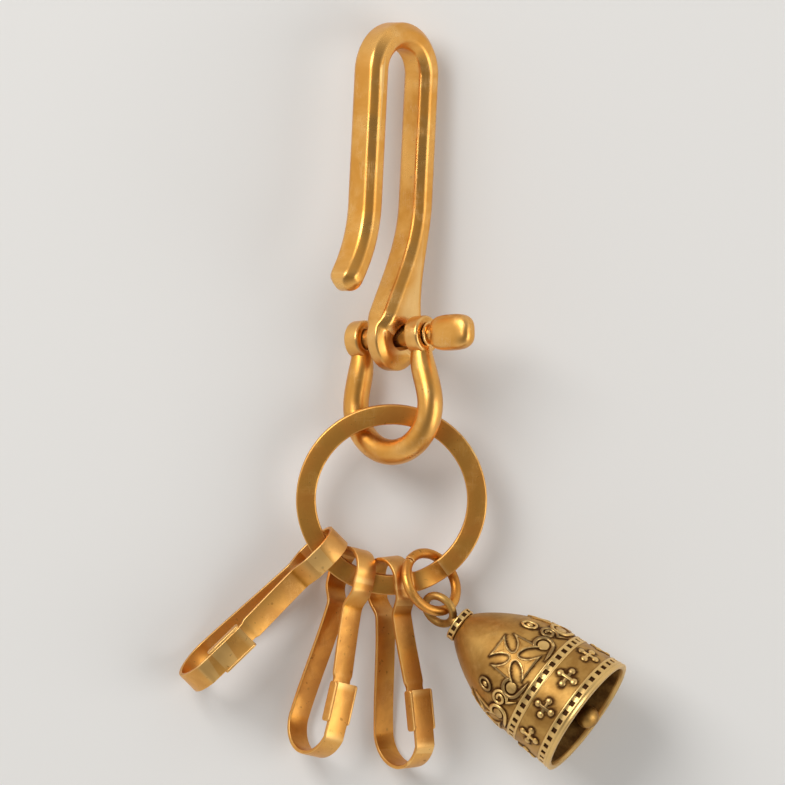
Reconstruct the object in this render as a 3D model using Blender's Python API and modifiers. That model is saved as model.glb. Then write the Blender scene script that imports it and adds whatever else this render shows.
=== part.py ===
"""Brass key ring: belt hook, bow shackle, split ring, three spring clips, jump ring and bell.

It lies flat as it would on a table. Metres, +Z up; the sizes below are in millimetres.
The split ring carries everything, so each piece is placed from the ring's own wire.
"""

import math

import bmesh
import bpy
import numpy as np
from mathutils import Matrix, Vector

MM = 0.001
COLLECTION = "brass_key_ring_with_bell"
WELD = 0.005
SHARP_DEG = 32.0

# Split ring: one flat strip wound twice
RING_OD = 35.0
RING_STRIP_W = 3.65
RING_STRIP_T = 0.85
RING_COIL_GAP = 0.44
RING_CHAMFER = 0.25
RING_TOP_END_DEG = -53.5
RING_STEP_DEG = 19.0
RING_CENTRE = (-2.02, -18.99, 7.74)
RING_TILT_DEG = 4.0

# Belt hook: chamfered flat bar bent to a J, with a round eye
HOOK_BAR_W = 6.5
HOOK_BAR_T = 4.8
HOOK_CHAMFER = 1.4
HOOK_BEND_R = 7.0
HOOK_BEND_AT = 48.2
HOOK_SHANK_OFF = 4.3
HOOK_SHANK_CURVE_L = 25.0
HOOK_LIP_FROM = 24.0
HOOK_LIP_R = 26.0
HOOK_LIP_DEG = 33.0
HOOK_EYE_R = 6.2
HOOK_EYE_FLARE = 22.0
HOOK_EYE_JOIN = 0.5
HOOK_EYE_SLOPE = 0.35
HOOK_PIN_PLAY = 0.55
HOOK_ROLL_DEG = 41.0
HOOK_YAW_DEG = -0.4
HOOK_PITCH_DEG = -3.6
HOOK_SIDE_SHIFT = 0.5
HOOK_LIFT = 0.2

# Bow shackle and its pin
BAR_D = 4.7
BOW_HALF_W = 8.65
BOW_LENGTH = 21.1
EAR_T = 3.2
EAR_D = 7.0
EAR_PLAY = 4.2
EAR_GAP = HOOK_BAR_W + EAR_PLAY
EAR_NECK_SCALE = 0.74
PIN_D = 3.9
PIN_FIT = 0.3
PIN_HEAD_L = 8.8
PIN_HEAD_W = 6.6
PIN_HEAD_T = 4.2
PIN_NECK_L = 1.5
PIN_NECK_D = 4.6
PIN_HEAD_FULLNESS = 1.3
PIN_HEAD_SINK = 0.4
PIN_CORE = 1.0
PIN_TIP_CHAMFER = 0.5
SHACKLE_ROLL_DEG = 38.0
SHACKLE_YAW_DEG = 4.5
SHACKLE_PITCH_DEG = -5.0
SHACKLE_SLACK = 2.8
SHACKLE_LIFT = 0.4
SHACKLE_SIDE = 0.4

# Spring key clips: one bent strip each
CLIP_STRIP_W = 4.3
CLIP_STRIP_T = 0.7
CLIP_LENGTH = 39.0
CLIP_ARCH_R = 4.0
CLIP_ARCH_STRAIGHT = 3.0
CLIP_NECK_AT = 11.0
CLIP_NECK_HALF = 2.35
CLIP_TOE_R = 6.0
CLIP_CATCH_H = 14.3
CLIP_CATCH_LAP = 4.4
CLIP_CATCH_GAP = 0.35
CLIP_CHEEK_T = 0.45
CLIP_CHEEK_D = 1.9
CLIP_CHEEK_L = 7.5
CLIP_CHEEK_SINK = 0.05
CLIP_TONGUE_LEAD = 1.0
CLIP_LEG_TAPER = 0.6
CLIP_TONGUE_PLAY = 0.3
CLIP_FLEX_GAP = 0.3
CLIP_SLACK = 2.5
# Each clip: place on the ring, heading, roll about its length, nose-down pitch, slip outwards, lift
CLIPS = {
    "key_clip_1": (217.0, 224.1, 76.6, 2.0, 0.8, 0.6),
    "key_clip_2": (242.1, 257.2, 52.0, -1.6, 0.0, -0.2),
    "key_clip_3": (269.2, 275.4, 50.3, 0.5, -0.2, 0.0),
}

# Jump ring
JUMP_OD = 13.2
JUMP_WIRE_D = 1.85
JUMP_AT_DEG = -64.2
JUMP_OUT = 1.04
JUMP_RISE = 1.46
JUMP_LEAN = (0.597, 0.372, 0.711)

# Bell: axis from the crown towards the mouth
BELL_AXIS_DEG = -35.9
BELL_TILT_DEG = 11.5
BELL_WALL = 1.1
BELL_H = 28.6
BELL_SHOULDER = 19.0
BELL_BELLY_D = 22.0
BELL_MOUTH_D = 23.7
BELL_NECK_D = 6.0
BELL_CROWN_T = 1.5
BELL_DOME_POWER = 0.85
BELL_FOOT_STEP = 0.6
BELL_REST = (-0.7, 0.1, -0.7)
COLLAR_D = 6.5
COLLAR_L = 1.5
COLLAR_CHAMFER = 0.3
CROWN_HOLE_FIT = 0.3
CROWN_OD = 7.4
CROWN_WIRE_D = 1.5
CROWN_ROLL_DEG = -45.0
CROWN_STEM_D = 2.2
BELL_LINK_DEG = -67.0
STAPLE_OD = 4.3
STAPLE_WIRE_D = 1.1
CLAPPER_L = 23.0
CLAPPER_WIRE_D = 1.1
CLAPPER_LOOP_GAP = 0.42
CLAPPER_FIT = 0.3
CLAPPER_BALL_D = 4.2
CLAPPER_REST_DEG = 21.0


def clear_scene():
    for obj in list(bpy.data.objects):
        bpy.data.objects.remove(obj, do_unlink=True)


def collection(name):
    bpy.context.scene.collection.children.link(bpy.data.collections.new(name))


def brass(name, colour, roughness):
    made = bpy.data.materials.new(name)
    made.use_nodes = True
    shader = made.node_tree.nodes["Principled BSDF"]
    shader.inputs["Base Color"].default_value = (*colour, 1.0)
    shader.inputs["Roughness"].default_value = roughness
    shader.inputs["Metallic"].default_value = 1.0
    made.diffuse_color = (*colour, 1.0)
    return made


def direction(deg, up_deg=0.0):
    """Unit vector at a compass angle from +X, raised by up_deg."""
    turn, rise = math.radians(deg), math.radians(up_deg)
    return Vector((math.cos(turn) * math.cos(rise), math.sin(turn) * math.cos(rise), math.sin(rise)))


def frame(origin, x_axis, y_axis):
    """Matrix of a frame in metres whose axes are x, y and x cross y; origin in millimetres."""
    x_axis = x_axis.normalized()
    z_axis = x_axis.cross(y_axis).normalized()
    y_axis = z_axis.cross(x_axis)
    made = Matrix((x_axis, y_axis, z_axis)).transposed().to_4x4()
    made.translation = Vector(origin) * MM
    return made


def point_mm(matrix, x, y, z):
    """World position, in millimetres, of a point of a frame."""
    return (matrix @ (Vector((x, y, z)) * MM)) / MM


def rolled_frame(origin, roll_deg, yaw_deg, pitch_deg):
    """Frame with x along a pin raised by roll, y along the piece and z across it."""
    pin = direction(yaw_deg, roll_deg)
    level = Vector((-math.sin(math.radians(yaw_deg)), math.cos(math.radians(yaw_deg)), 0.0))
    across = pin.cross(level)
    pitch = math.radians(pitch_deg)
    return frame(origin, pin, level * math.cos(pitch) + across * math.sin(pitch))


def empty(name, matrix, parent=None):
    """Empty on a joint's axis: the pieces of the moving body hang from it."""
    made = bpy.data.objects.new(name, None)
    made.empty_display_size = 4 * MM
    bpy.data.collections[COLLECTION].objects.link(made)
    made.parent = parent
    made.matrix_world = matrix
    bpy.context.view_layer.update()
    return made


def add_part(name, mesh, material, matrix, parent):
    obj = bpy.data.objects.new(name, mesh)
    bpy.data.collections[COLLECTION].objects.link(obj)
    mesh.materials.clear()
    mesh.materials.append(material)
    mesh.shade_smooth()
    mesh.set_sharp_from_angle(angle=math.radians(SHARP_DEG))
    obj.parent = parent
    obj.matrix_world = matrix
    bpy.context.view_layer.update()
    return obj


def mesh_of(obj):
    """Mesh of an object as it shows, caps welded; the object itself is removed."""
    bpy.context.view_layer.update()
    graph = bpy.context.evaluated_depsgraph_get()
    mesh = bpy.data.meshes.new_from_object(obj.evaluated_get(graph))
    mesh.transform(obj.matrix_world)
    bpy.data.objects.remove(obj, do_unlink=True)
    welded = bmesh.new()
    welded.from_mesh(mesh)
    bmesh.ops.remove_doubles(welded, verts=welded.verts, dist=WELD * MM)
    bmesh.ops.recalc_face_normals(welded, faces=welded.faces)
    welded.to_mesh(mesh)
    welded.free()
    return mesh


def loose_object(name, data):
    obj = bpy.data.objects.new(name, data)
    bpy.context.scene.collection.objects.link(obj)
    return obj


def combined(first, second, operation):
    """Mesh of two meshes joined or cut by an exact Boolean."""
    base = loose_object("base", first)
    tool = loose_object("tool", second)
    change = base.modifiers.new("change", "BOOLEAN")
    change.operation = operation
    change.object = tool
    mesh = mesh_of(base)
    bpy.data.objects.remove(tool, do_unlink=True)
    return mesh


def cylinder(radius, length, centre, axis, sides=32):
    """Closed cylinder mesh about a point; centre in millimetres of the piece's frame."""
    made = bmesh.new()
    bmesh.ops.create_cone(
        made, cap_ends=True, segments=sides, radius1=radius * MM, radius2=radius * MM, depth=length * MM
    )
    turn = Vector((0, 0, 1)).rotation_difference(Vector(axis)).to_matrix().to_4x4()
    made.transform(Matrix.Translation(Vector(centre) * MM) @ turn)
    mesh = bpy.data.meshes.new("cylinder")
    made.to_mesh(mesh)
    made.free()
    return mesh


def box(size, centre):
    """Closed box mesh; size and centre in millimetres of the piece's frame."""
    made = bmesh.new()
    bmesh.ops.create_cube(made, size=1.0)
    stretch = Matrix.Diagonal((*[s * MM for s in size], 1))
    made.transform(Matrix.Translation(Vector(centre) * MM) @ stretch)
    mesh = bpy.data.meshes.new("box")
    made.to_mesh(mesh)
    made.free()
    return mesh


def wire(points, radius, closed=False, resolution=2, scales=None):
    """Round or faceted bar along points, in millimetres, as a welded mesh."""
    curve = bpy.data.curves.new("wire", "CURVE")
    curve.dimensions = "3D"
    curve.bevel_depth = radius * MM
    curve.bevel_resolution = resolution
    curve.use_fill_caps = not closed
    spline = curve.splines.new("POLY")
    spline.points.add(len(points) - 1)
    for index, point in enumerate(points):
        spline.points[index].co = (*(Vector(point) * MM), 1.0)
        spline.points[index].radius = scales[index] if scales else 1.0
    spline.use_cyclic_u = closed
    return mesh_of(loose_object("wire", curve))


def turned(profile, steps):
    """Solid turned about Z from (radius, height) points, running down the outer side."""
    made = bmesh.new()
    verts = [made.verts.new((r * MM, 0, z * MM)) for r, z in profile]
    for pair in zip(verts, verts[1:]):
        made.edges.new(pair)
    mesh = bpy.data.meshes.new("profile")
    made.to_mesh(mesh)
    made.free()
    obj = loose_object("profile", mesh)
    screw = obj.modifiers.new("screw", "SCREW")
    screw.steps = steps
    screw.render_steps = steps
    screw.use_merge_vertices = True
    screw.merge_threshold = WELD * MM
    return mesh_of(obj)


def torus(major, minor, major_steps, minor_steps):
    """Closed ring of round wire in the XY plane."""
    points = [direction(360 * k / major_steps) * major for k in range(major_steps)]
    return wire(points, minor, closed=True, resolution=minor_steps)


def smooth(t):
    t = min(max(t, 0.0), 1.0)
    return t * t * (3 - 2 * t)


def arc(centre, radius, start_deg, end_deg, count):
    """Points on an arc, both ends included."""
    turns = np.radians(np.linspace(start_deg, end_deg, count))
    return [(centre[0] + radius * math.cos(t), centre[1] + radius * math.sin(t)) for t in turns]


# Belt hook


def hook_centreline():
    """Points of the hook's centreline, from the lip to the eye; x across, y along the shank."""
    lip_leg = 2 * HOOK_BEND_R - HOOK_SHANK_OFF
    points = arc((lip_leg + HOOK_LIP_R, HOOK_LIP_FROM), HOOK_LIP_R, 180 + HOOK_LIP_DEG, 180, 11)
    points += arc((lip_leg - HOOK_BEND_R, HOOK_BEND_AT), HOOK_BEND_R, 0, 180, 19)
    for y in np.linspace(HOOK_SHANK_CURVE_L, 0, 15):
        points.append((-HOOK_SHANK_OFF * smooth(y / HOOK_SHANK_CURVE_L), y))
    return points


def hook_half_thickness(y_from_eye):
    """Half of the bar's thickness on the shank, which flares into the eye."""
    start = HOOK_EYE_R * HOOK_EYE_JOIN
    t = (y_from_eye - start) / (HOOK_EYE_FLARE - start)
    eye_half = math.sqrt(HOOK_EYE_R**2 - start**2)
    if t >= 1:
        return HOOK_BAR_T / 2
    lean = -HOOK_EYE_SLOPE * (HOOK_EYE_FLARE - start)
    own = 2 * t**3 - 3 * t**2 + 1
    return own * eye_half + (t**3 - 2 * t**2 + t) * lean + (1 - own) * HOOK_BAR_T / 2


def hook_outline():
    """Closed outline of the hook seen from the side: the bar's two edges, lip end and eye."""
    centres = [Vector(p) for p in hook_centreline()]
    bend_top = HOOK_BEND_AT
    left, right = [], []
    on_shank = False
    for index, centre in enumerate(centres):
        ahead = centres[min(index + 1, len(centres) - 1)] - centres[max(index - 1, 0)]
        across = Vector((-ahead.y, ahead.x)).normalized()
        on_shank = on_shank or (centre.x < 0 and centre.y < bend_top)
        half = hook_half_thickness(centre.y) if on_shank else HOOK_BAR_T / 2
        if on_shank and centre.y < HOOK_EYE_R * HOOK_EYE_JOIN:
            break
        left.append(centre + across * half)
        right.append(centre - across * half)
    start = centres[0] - centres[1]
    lean = math.degrees(math.atan2(start.y, start.x))
    lip = [Vector(p) for p in arc(centres[0], HOOK_BAR_T / 2, lean - 90, lean + 90, 9)][1:-1]
    span = math.degrees(math.asin(HOOK_EYE_JOIN))
    eye = [Vector(p) for p in arc((0, 0), HOOK_EYE_R, 180 - span, 360 + span, 25)][1:-1]
    return left + shank_end(left, right, eye) + right[::-1] + lip_order(lip, right[0])


def shank_end(left, right, eye):
    """The eye's arc, turned round if needed so that it runs from the left edge to the right."""
    return eye if (eye[0] - left[-1]).length < (eye[0] - right[-1]).length else eye[::-1]


def lip_order(lip, first):
    return lip if (lip[0] - first).length < (lip[-1] - first).length else lip[::-1]


def plate(outline, thickness, chamfer):
    """Flat outline extruded about its plane with chamfered edges; thickness along z."""
    curve = bpy.data.curves.new("plate", "CURVE")
    curve.dimensions = "2D"
    curve.fill_mode = "BOTH"
    curve.extrude = (thickness / 2 - chamfer) * MM
    curve.bevel_depth = chamfer * MM
    curve.bevel_resolution = 0
    curve.offset = -chamfer * MM
    spline = curve.splines.new("POLY")
    spline.points.add(len(outline) - 1)
    for index, point in enumerate(outline):
        spline.points[index].co = (point[0] * MM, point[1] * MM, 0, 1)
    spline.use_cyclic_u = True
    return mesh_of(loose_object("plate", curve))


def belt_hook(matrix, parent, material):
    """In its frame x runs along the pin, y up the shank and z towards the lip."""
    mesh = plate(hook_outline(), HOOK_BAR_W, HOOK_CHAMFER)
    mesh.transform(Matrix(((0, 0, 1, 0), (0, 1, 0, 0), (1, 0, 0, 0), (0, 0, 0, 1))))
    mesh.flip_normals()
    hole = cylinder(PIN_D / 2 + HOOK_PIN_PLAY, 2 * HOOK_BAR_W, (0, 0, 0), (1, 0, 0))
    add_part("belt_hook", combined(mesh, hole, "DIFFERENCE"), material, matrix, parent)


# Bow shackle and pin


def ear_centre():
    return (EAR_GAP + EAR_T) / 2


def shackle_path():
    """Centreline of the bow, from the right ear round to the left; x along the pin."""
    arm_length = BOW_LENGTH - BOW_HALF_W
    arm = []
    for drop in np.linspace(0, arm_length, 13)[:-1]:
        spread = smooth((drop - EAR_T) / (arm_length - EAR_T))
        arm.append((ear_centre() + (BOW_HALF_W - ear_centre()) * spread, -drop))
    bow = arc((0, -arm_length), BOW_HALF_W, 0, -180, 19)
    return arm + bow + [(-x, y) for x, y in reversed(arm)]


def shackle_bow(matrix, parent, material):
    path = shackle_path()
    scales = [EAR_NECK_SCALE + (1 - EAR_NECK_SCALE) * smooth(-y / EAR_D) for _, y in path]
    mesh = wire([(x, y, 0) for x, y in path], BAR_D / 2, resolution=2, scales=scales)
    for side in (1, -1):
        ear = cylinder(EAR_D / 2, EAR_T, (side * ear_centre(), 0, 0), (1, 0, 0))
        mesh = combined(mesh, ear, "UNION")
    bore = cylinder(PIN_D / 2 + PIN_FIT, 2 * EAR_GAP, (0, 0, 0), (1, 0, 0))
    add_part("shackle_bow", combined(mesh, bore, "DIFFERENCE"), material, matrix, parent)


def lozenge(length, width, thickness):
    """Rounded tab along x, flat on both broad sides."""
    made = bmesh.new()
    bmesh.ops.create_uvsphere(made, u_segments=24, v_segments=14, radius=1.0)
    turn = Matrix.Rotation(math.radians(90), 4, "Y")
    halves = [length / 2, width / 2, thickness / 2 * PIN_HEAD_FULLNESS]
    made.transform(Matrix.Diagonal((*[half * MM for half in halves], 1)) @ turn)
    for vert in made.verts:
        vert.co.z = max(min(vert.co.z, thickness / 2 * MM), -thickness / 2 * MM)
    mesh = bpy.data.meshes.new("lozenge")
    made.to_mesh(mesh)
    made.free()
    return mesh


def shackle_pin(matrix, parent, material):
    """Pin along x; its shoulder sits just off the right ear."""
    ear_face = EAR_GAP / 2 + EAR_T
    shoulder = ear_face + PIN_FIT
    waist = shoulder + PIN_NECK_L / 2
    head_from = shoulder + PIN_NECK_L
    profile = [
        (0, head_from + PIN_CORE),
        (PIN_D / 2, head_from + PIN_CORE),
        (PIN_D / 2, waist),
        (PIN_NECK_D / 2, waist),
        (PIN_NECK_D / 2, shoulder),
        (PIN_D / 2, shoulder),
        (PIN_D / 2, -ear_face + PIN_TIP_CHAMFER),
        (PIN_D / 2 - PIN_TIP_CHAMFER, -ear_face),
        (0, -ear_face),
    ]
    mesh = turned(profile, 32)
    mesh.transform(Matrix.Rotation(math.radians(90), 4, "Y"))
    head = lozenge(PIN_HEAD_L, PIN_HEAD_W, PIN_HEAD_T)
    head.transform(Matrix.Translation(((head_from + PIN_HEAD_L / 2 - PIN_HEAD_SINK) * MM, 0, 0)))
    add_part("shackle_pin", combined(mesh, head, "UNION"), material, matrix, parent)


# Split ring


def ring_wire_radius():
    return (RING_OD - RING_STRIP_W) / 2


def ring_level(turned_deg):
    """Height of the strip's middle after this much turning, from the lower turn's start."""
    level = (RING_STRIP_T + RING_COIL_GAP) / 2
    lower = 360 - RING_STEP_DEG
    rise = min(max((turned_deg - lower) / RING_STEP_DEG, 0), 1)
    return level * (2 * rise - 1)


def ring_least_gap():
    """Least distance between the two turns, measured on points of their facing sides."""
    whole = 2 * (360 - RING_STEP_DEG) + RING_STEP_DEG
    turns = np.arange(0, whole, 0.25)
    radius = RING_OD / 2
    angle = np.radians(turns)
    level = np.array([ring_level(t) for t in turns])
    middle = np.stack([radius * np.cos(angle), radius * np.sin(angle), level], axis=1)
    under = middle - np.array([0, 0, RING_STRIP_T / 2])
    over = middle + np.array([0, 0, RING_STRIP_T / 2])
    least = math.inf
    for index in range(0, len(turns), 2):
        later = turns - turns[index] > 180
        if later.any():
            least = min(least, float(np.linalg.norm(under[later] - over[index], axis=1).min()))
    return least


def split_ring(matrix, parent, material):
    """Flat strip with chamfered edges, spun round twice with a step between the turns."""
    made = bmesh.new()
    half_w, half_t, cut = RING_STRIP_W / 2, RING_STRIP_T / 2, RING_CHAMFER
    middle = ring_wire_radius()
    low = ring_level(0)
    right = [(half_w - cut, -half_t), (half_w, cut - half_t), (half_w, half_t - cut), (half_w - cut, half_t)]
    section = right + [(-x, z) for x, z in reversed(right)]
    verts = [made.verts.new(((middle + x) * MM, 0, (low + z) * MM)) for x, z in section]
    start = made.faces.new(verts)
    bmesh.ops.rotate(
        made, verts=verts, cent=(0, 0, 0),
        matrix=Matrix.Rotation(math.radians(RING_TOP_END_DEG - RING_STEP_DEG), 3, "Z"),
    )
    edges = list(start.edges)
    bmesh.ops.delete(made, geom=[start], context="FACES_ONLY")
    turn = 360 - RING_STEP_DEG
    climb = RING_STRIP_T + RING_COIL_GAP
    first_ring = edges
    for sweep, steps, rise in ((turn, 60, 0), (RING_STEP_DEG, 4, climb), (turn, 60, 0)):
        spun = bmesh.ops.spin(
            made, geom=edges, cent=(0, 0, 0), axis=(0, 0, -1), dvec=(0, 0, rise / steps * MM),
            angle=math.radians(sweep), steps=steps, use_merge=False, use_duplicate=False,
        )
        edges = [item for item in spun["geom_last"] if isinstance(item, bmesh.types.BMEdge)]
    bmesh.ops.contextual_create(made, geom=first_ring)
    bmesh.ops.contextual_create(made, geom=edges)
    bmesh.ops.recalc_face_normals(made, faces=made.faces)
    mesh = bpy.data.meshes.new("split_ring")
    made.to_mesh(mesh)
    made.free()
    add_part("split_ring", mesh, material, matrix, parent)
    print(f"split ring: least gap between its turns {ring_least_gap():.3f} mm")


# Spring key clips


def clip_top():
    """Distance from the ring's wire to the outside of the arch."""
    return CLIP_STRIP_T + CLIP_SLACK + RING_STRIP_W / 2


def leg_half(depth, end_depth, end_half):
    """How far a leg stands from the clip's middle, at a depth below the arch's outside."""
    shoulder = CLIP_STRIP_T / 2 + CLIP_ARCH_R + CLIP_ARCH_STRAIGHT
    if depth <= CLIP_NECK_AT:
        narrowing = smooth((depth - shoulder) / (CLIP_NECK_AT - shoulder))
        return CLIP_ARCH_R + (CLIP_NECK_HALF - CLIP_ARCH_R) * narrowing
    share = (depth - CLIP_NECK_AT) / (end_depth - CLIP_NECK_AT)
    opening = CLIP_LEG_TAPER * share + (1 - CLIP_LEG_TAPER) * smooth(share)
    return CLIP_NECK_HALF + (end_half - CLIP_NECK_HALF) * opening


def clip_depths():
    """Depths below the arch's outside: arch centre, flex point, toe centre, catch edge, gate tip."""
    arch = CLIP_STRIP_T / 2 + CLIP_ARCH_R
    flex = arch + CLIP_ARCH_STRAIGHT
    toe = CLIP_LENGTH - CLIP_STRIP_T / 2 - CLIP_TOE_R
    edge = CLIP_LENGTH - CLIP_CATCH_H
    return arch, flex, toe, edge, edge + CLIP_CATCH_LAP


def catch_half():
    return CLIP_TOE_R - CLIP_STRIP_T / 2


def body_path():
    """Strip of the clip's body: arch, back, toe and catch, as (across, depth)."""
    arch, flex, toe, edge, _ = clip_depths()
    points = [(CLIP_ARCH_R, flex), (CLIP_ARCH_R, (arch + flex) / 2)]
    points += [(x, arch - y) for x, y in arc((0, 0), CLIP_ARCH_R, 0, 180, 17)]
    points += [(-leg_half(d, toe, CLIP_TOE_R), d) for d in np.linspace(flex, toe, 22)[:-1]]
    points += [(x, toe - y) for x, y in arc((0, 0), CLIP_TOE_R, 180, 360, 18)]
    points += [(catch_half(), toe - CLIP_TOE_R / 2), (catch_half(), edge)]
    return points


def gate_path():
    """Strip of the gate, from the flex point to the tip inside the catch."""
    _, flex, _, _, tip = clip_depths()
    tip_half = catch_half() - CLIP_STRIP_T - CLIP_CATCH_GAP
    return [(leg_half(d, tip, tip_half), d) for d in np.linspace(flex + CLIP_FLEX_GAP, tip, 22)]


def strip(path, widths):
    """Flat strip of the clips' thickness along a path, as a solid."""
    made = bmesh.new()
    top = clip_top()
    low = [made.verts.new((x * MM, (top - d) * MM, -w / 2 * MM)) for (x, d), w in zip(path, widths)]
    edges = [made.edges.new(pair) for pair in zip(low, low[1:])]
    grown = bmesh.ops.extrude_edge_only(made, edges=edges)
    for item in grown["geom"]:
        if isinstance(item, bmesh.types.BMVert):
            item.co.z = -item.co.z
    mesh = bpy.data.meshes.new("strip")
    made.to_mesh(mesh)
    made.free()
    obj = loose_object("strip", mesh)
    wall = obj.modifiers.new("wall", "SOLIDIFY")
    wall.thickness = CLIP_STRIP_T * MM
    wall.offset = 0
    wall.use_even_offset = True
    return mesh_of(obj)


def clip_body(name, matrix, parent, material):
    path = body_path()
    mesh = strip(path, [CLIP_STRIP_W] * len(path))
    _, _, _, edge, _ = clip_depths()
    outside = catch_half() + CLIP_STRIP_T / 2
    middle = clip_top() - edge - CLIP_CHEEK_L / 2
    for side in (1, -1):
        across = side * (CLIP_STRIP_W / 2 + CLIP_CHEEK_T / 2 - CLIP_CHEEK_SINK)
        size = (CLIP_CHEEK_D, CLIP_CHEEK_L, CLIP_CHEEK_T + 2 * CLIP_CHEEK_SINK)
        cheek = box(size, (outside - CLIP_CHEEK_D / 2, middle, across))
        mesh = combined(mesh, cheek, "UNION")
    add_part(name, mesh, material, matrix, parent)


def clip_gate(name, matrix, parent, material):
    path = gate_path()
    _, _, _, edge, _ = clip_depths()
    tongue = CLIP_STRIP_W - 2 * CLIP_TONGUE_PLAY
    widths = [tongue if d > edge - CLIP_TONGUE_LEAD else CLIP_STRIP_W for _, d in path]
    add_part(name, strip(path, widths), material, matrix, parent)


def clip_frame(ring, place_deg, heading_deg, roll_deg, pitch_deg, slip, lift):
    """Frame at the ring's wire: x towards the gate, y towards the arch, z across the strip."""
    at = direction(place_deg) * ring_wire_radius()
    origin = point_mm(ring, at.x, at.y, 0)
    along = direction(heading_deg, -pitch_deg)
    side = direction(heading_deg + 90)
    roll = math.radians(roll_deg)
    gate_side = side * math.cos(roll) + side.cross(along) * -math.sin(roll)
    return frame(origin + along * slip + Vector((0, 0, lift)), gate_side, -along)


def tangent_frame(ring, place_deg):
    """Frame at the ring's wire with x along the wire."""
    at = direction(place_deg) * ring_wire_radius()
    turn = ring.to_3x3()
    along = turn @ direction(place_deg + 90)
    inwards = turn @ direction(place_deg + 180)
    return frame(point_mm(ring, at.x, at.y, 0), along, inwards)


# Jump ring


def jump_frame(ring):
    """Frame of the jump ring: z is its own axis."""
    at = direction(JUMP_AT_DEG) * (ring_wire_radius() + JUMP_OUT)
    origin = point_mm(ring, at.x, at.y, JUMP_RISE)
    axis = Vector(JUMP_LEAN).normalized()
    level = axis.cross(Vector((0, 0, 1)))
    return frame(origin, level, axis.cross(level))


def jump_wire_radius():
    return (JUMP_OD - JUMP_WIRE_D) / 2


def jump_ring(matrix, parent, material):
    mesh = torus(jump_wire_radius(), JUMP_WIRE_D / 2, 40, 4)
    add_part("jump_ring", mesh, material, matrix, parent)


# Bell


def crown_wire_radius():
    return (CROWN_OD - CROWN_WIRE_D) / 2


def collar_top():
    """Height of the collar's top below the middle of the crown eye."""
    return -(CROWN_OD / 2 + CROWN_HOLE_FIT)


def bell_radius(along):
    """Outer radius of the shell at a distance below the collar's foot."""
    spread = min(along / BELL_SHOULDER, 1.0)
    growth = (BELL_BELLY_D - BELL_NECK_D) / 2 * math.sin(math.radians(90) * spread**BELL_DOME_POWER)
    flare = (BELL_MOUTH_D - BELL_BELLY_D) / 2 * max(along - BELL_SHOULDER, 0) / (BELL_H - BELL_SHOULDER)
    return BELL_NECK_D / 2 + growth + flare


def bell_profile():
    """Closed section of the shell as (radius, height), down the outside and up the inside."""
    top = collar_top()
    foot = top - COLLAR_L
    hole = CROWN_STEM_D / 2 + CROWN_HOLE_FIT
    stations = np.linspace(BELL_FOOT_STEP, BELL_H, 19)
    outside = [(bell_radius(s), foot - s) for s in stations]
    inside = [(r - BELL_WALL, z) for r, z in outside if z < foot - BELL_CROWN_T - BELL_FOOT_STEP]
    rim, cut = COLLAR_D / 2, COLLAR_CHAMFER
    collar = [(hole, top), (rim - cut, top), (rim, top - cut), (rim, foot + cut), (rim - cut, foot)]
    lip = [(outside[-1][0] - BELL_WALL, outside[-1][1])]
    crown_inside = [(hole, foot - BELL_CROWN_T)]
    return collar + outside + lip + inside[-2::-1] + crown_inside + collar[:1]


def bell_shell(matrix, parent, material):
    add_part("bell_shell", turned(bell_profile(), 48), material, matrix, parent)


def crown_inside_at():
    return collar_top() - COLLAR_L - BELL_CROWN_T


def staple_wire_radius():
    return (STAPLE_OD - STAPLE_WIRE_D) / 2


def staple_at():
    """Height of the staple's middle, under the crown."""
    return crown_inside_at() - CROWN_HOLE_FIT - STAPLE_OD / 2


def crown_eye(matrix, parent, material):
    """Loop above the collar, shank through it and staple under the crown, in one piece."""
    upright = Matrix.Rotation(math.radians(90), 4, "X")
    mesh = torus(crown_wire_radius(), CROWN_WIRE_D / 2, 32, 3)
    mesh.transform(Matrix.Rotation(math.radians(CROWN_ROLL_DEG), 4, "Z") @ upright)
    stem_top = -crown_wire_radius()
    stem_foot = staple_at() + staple_wire_radius()
    stem_middle = (0, 0, (stem_top + stem_foot) / 2)
    stem = cylinder(CROWN_STEM_D / 2, stem_top - stem_foot, stem_middle, (0, 0, 1), 20)
    staple = torus(staple_wire_radius(), STAPLE_WIRE_D / 2, 24, 2)
    staple.transform(Matrix.Translation((0, 0, staple_at() * MM)) @ upright)
    mesh = combined(combined(mesh, stem, "UNION"), staple, "UNION")
    add_part("crown_eye", mesh, material, matrix, parent)


def clapper_pivot():
    return staple_at() - staple_wire_radius()


def clapper(matrix, parent, metal):
    """In its frame the pivot is the origin, x the hinge and the rod hangs down -z."""
    loop_r = (STAPLE_WIRE_D + CLAPPER_WIRE_D) / 2 + CLAPPER_LOOP_GAP
    loop = torus(loop_r, CLAPPER_WIRE_D / 2, 20, 2)
    loop.transform(Matrix.Rotation(math.radians(90), 4, "Y"))
    ball_r = CLAPPER_BALL_D / 2
    rod_foot = -CLAPPER_L
    rod_length = CLAPPER_L - loop_r
    rod = cylinder(CLAPPER_WIRE_D / 2, rod_length, (0, 0, rod_foot + rod_length / 2), (0, 0, 1), 12)
    add_part("clapper_wire", combined(loop, rod, "UNION"), metal, matrix, parent)
    made = bmesh.new()
    bmesh.ops.create_uvsphere(made, u_segments=24, v_segments=14, radius=ball_r * MM)
    made.transform(Matrix.Translation((0, 0, rod_foot * MM)))
    ball = bpy.data.meshes.new("ball")
    made.to_mesh(ball)
    made.free()
    bore_length = 2 * ball_r
    bore_foot = rod_foot - CLAPPER_FIT
    bore_middle = (0, 0, bore_foot + bore_length / 2)
    bore = cylinder(CLAPPER_WIRE_D / 2 + CLAPPER_FIT, bore_length, bore_middle, (0, 0, 1), 16)
    add_part("clapper_ball", combined(ball, bore, "DIFFERENCE"), metal, matrix, parent)


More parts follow.
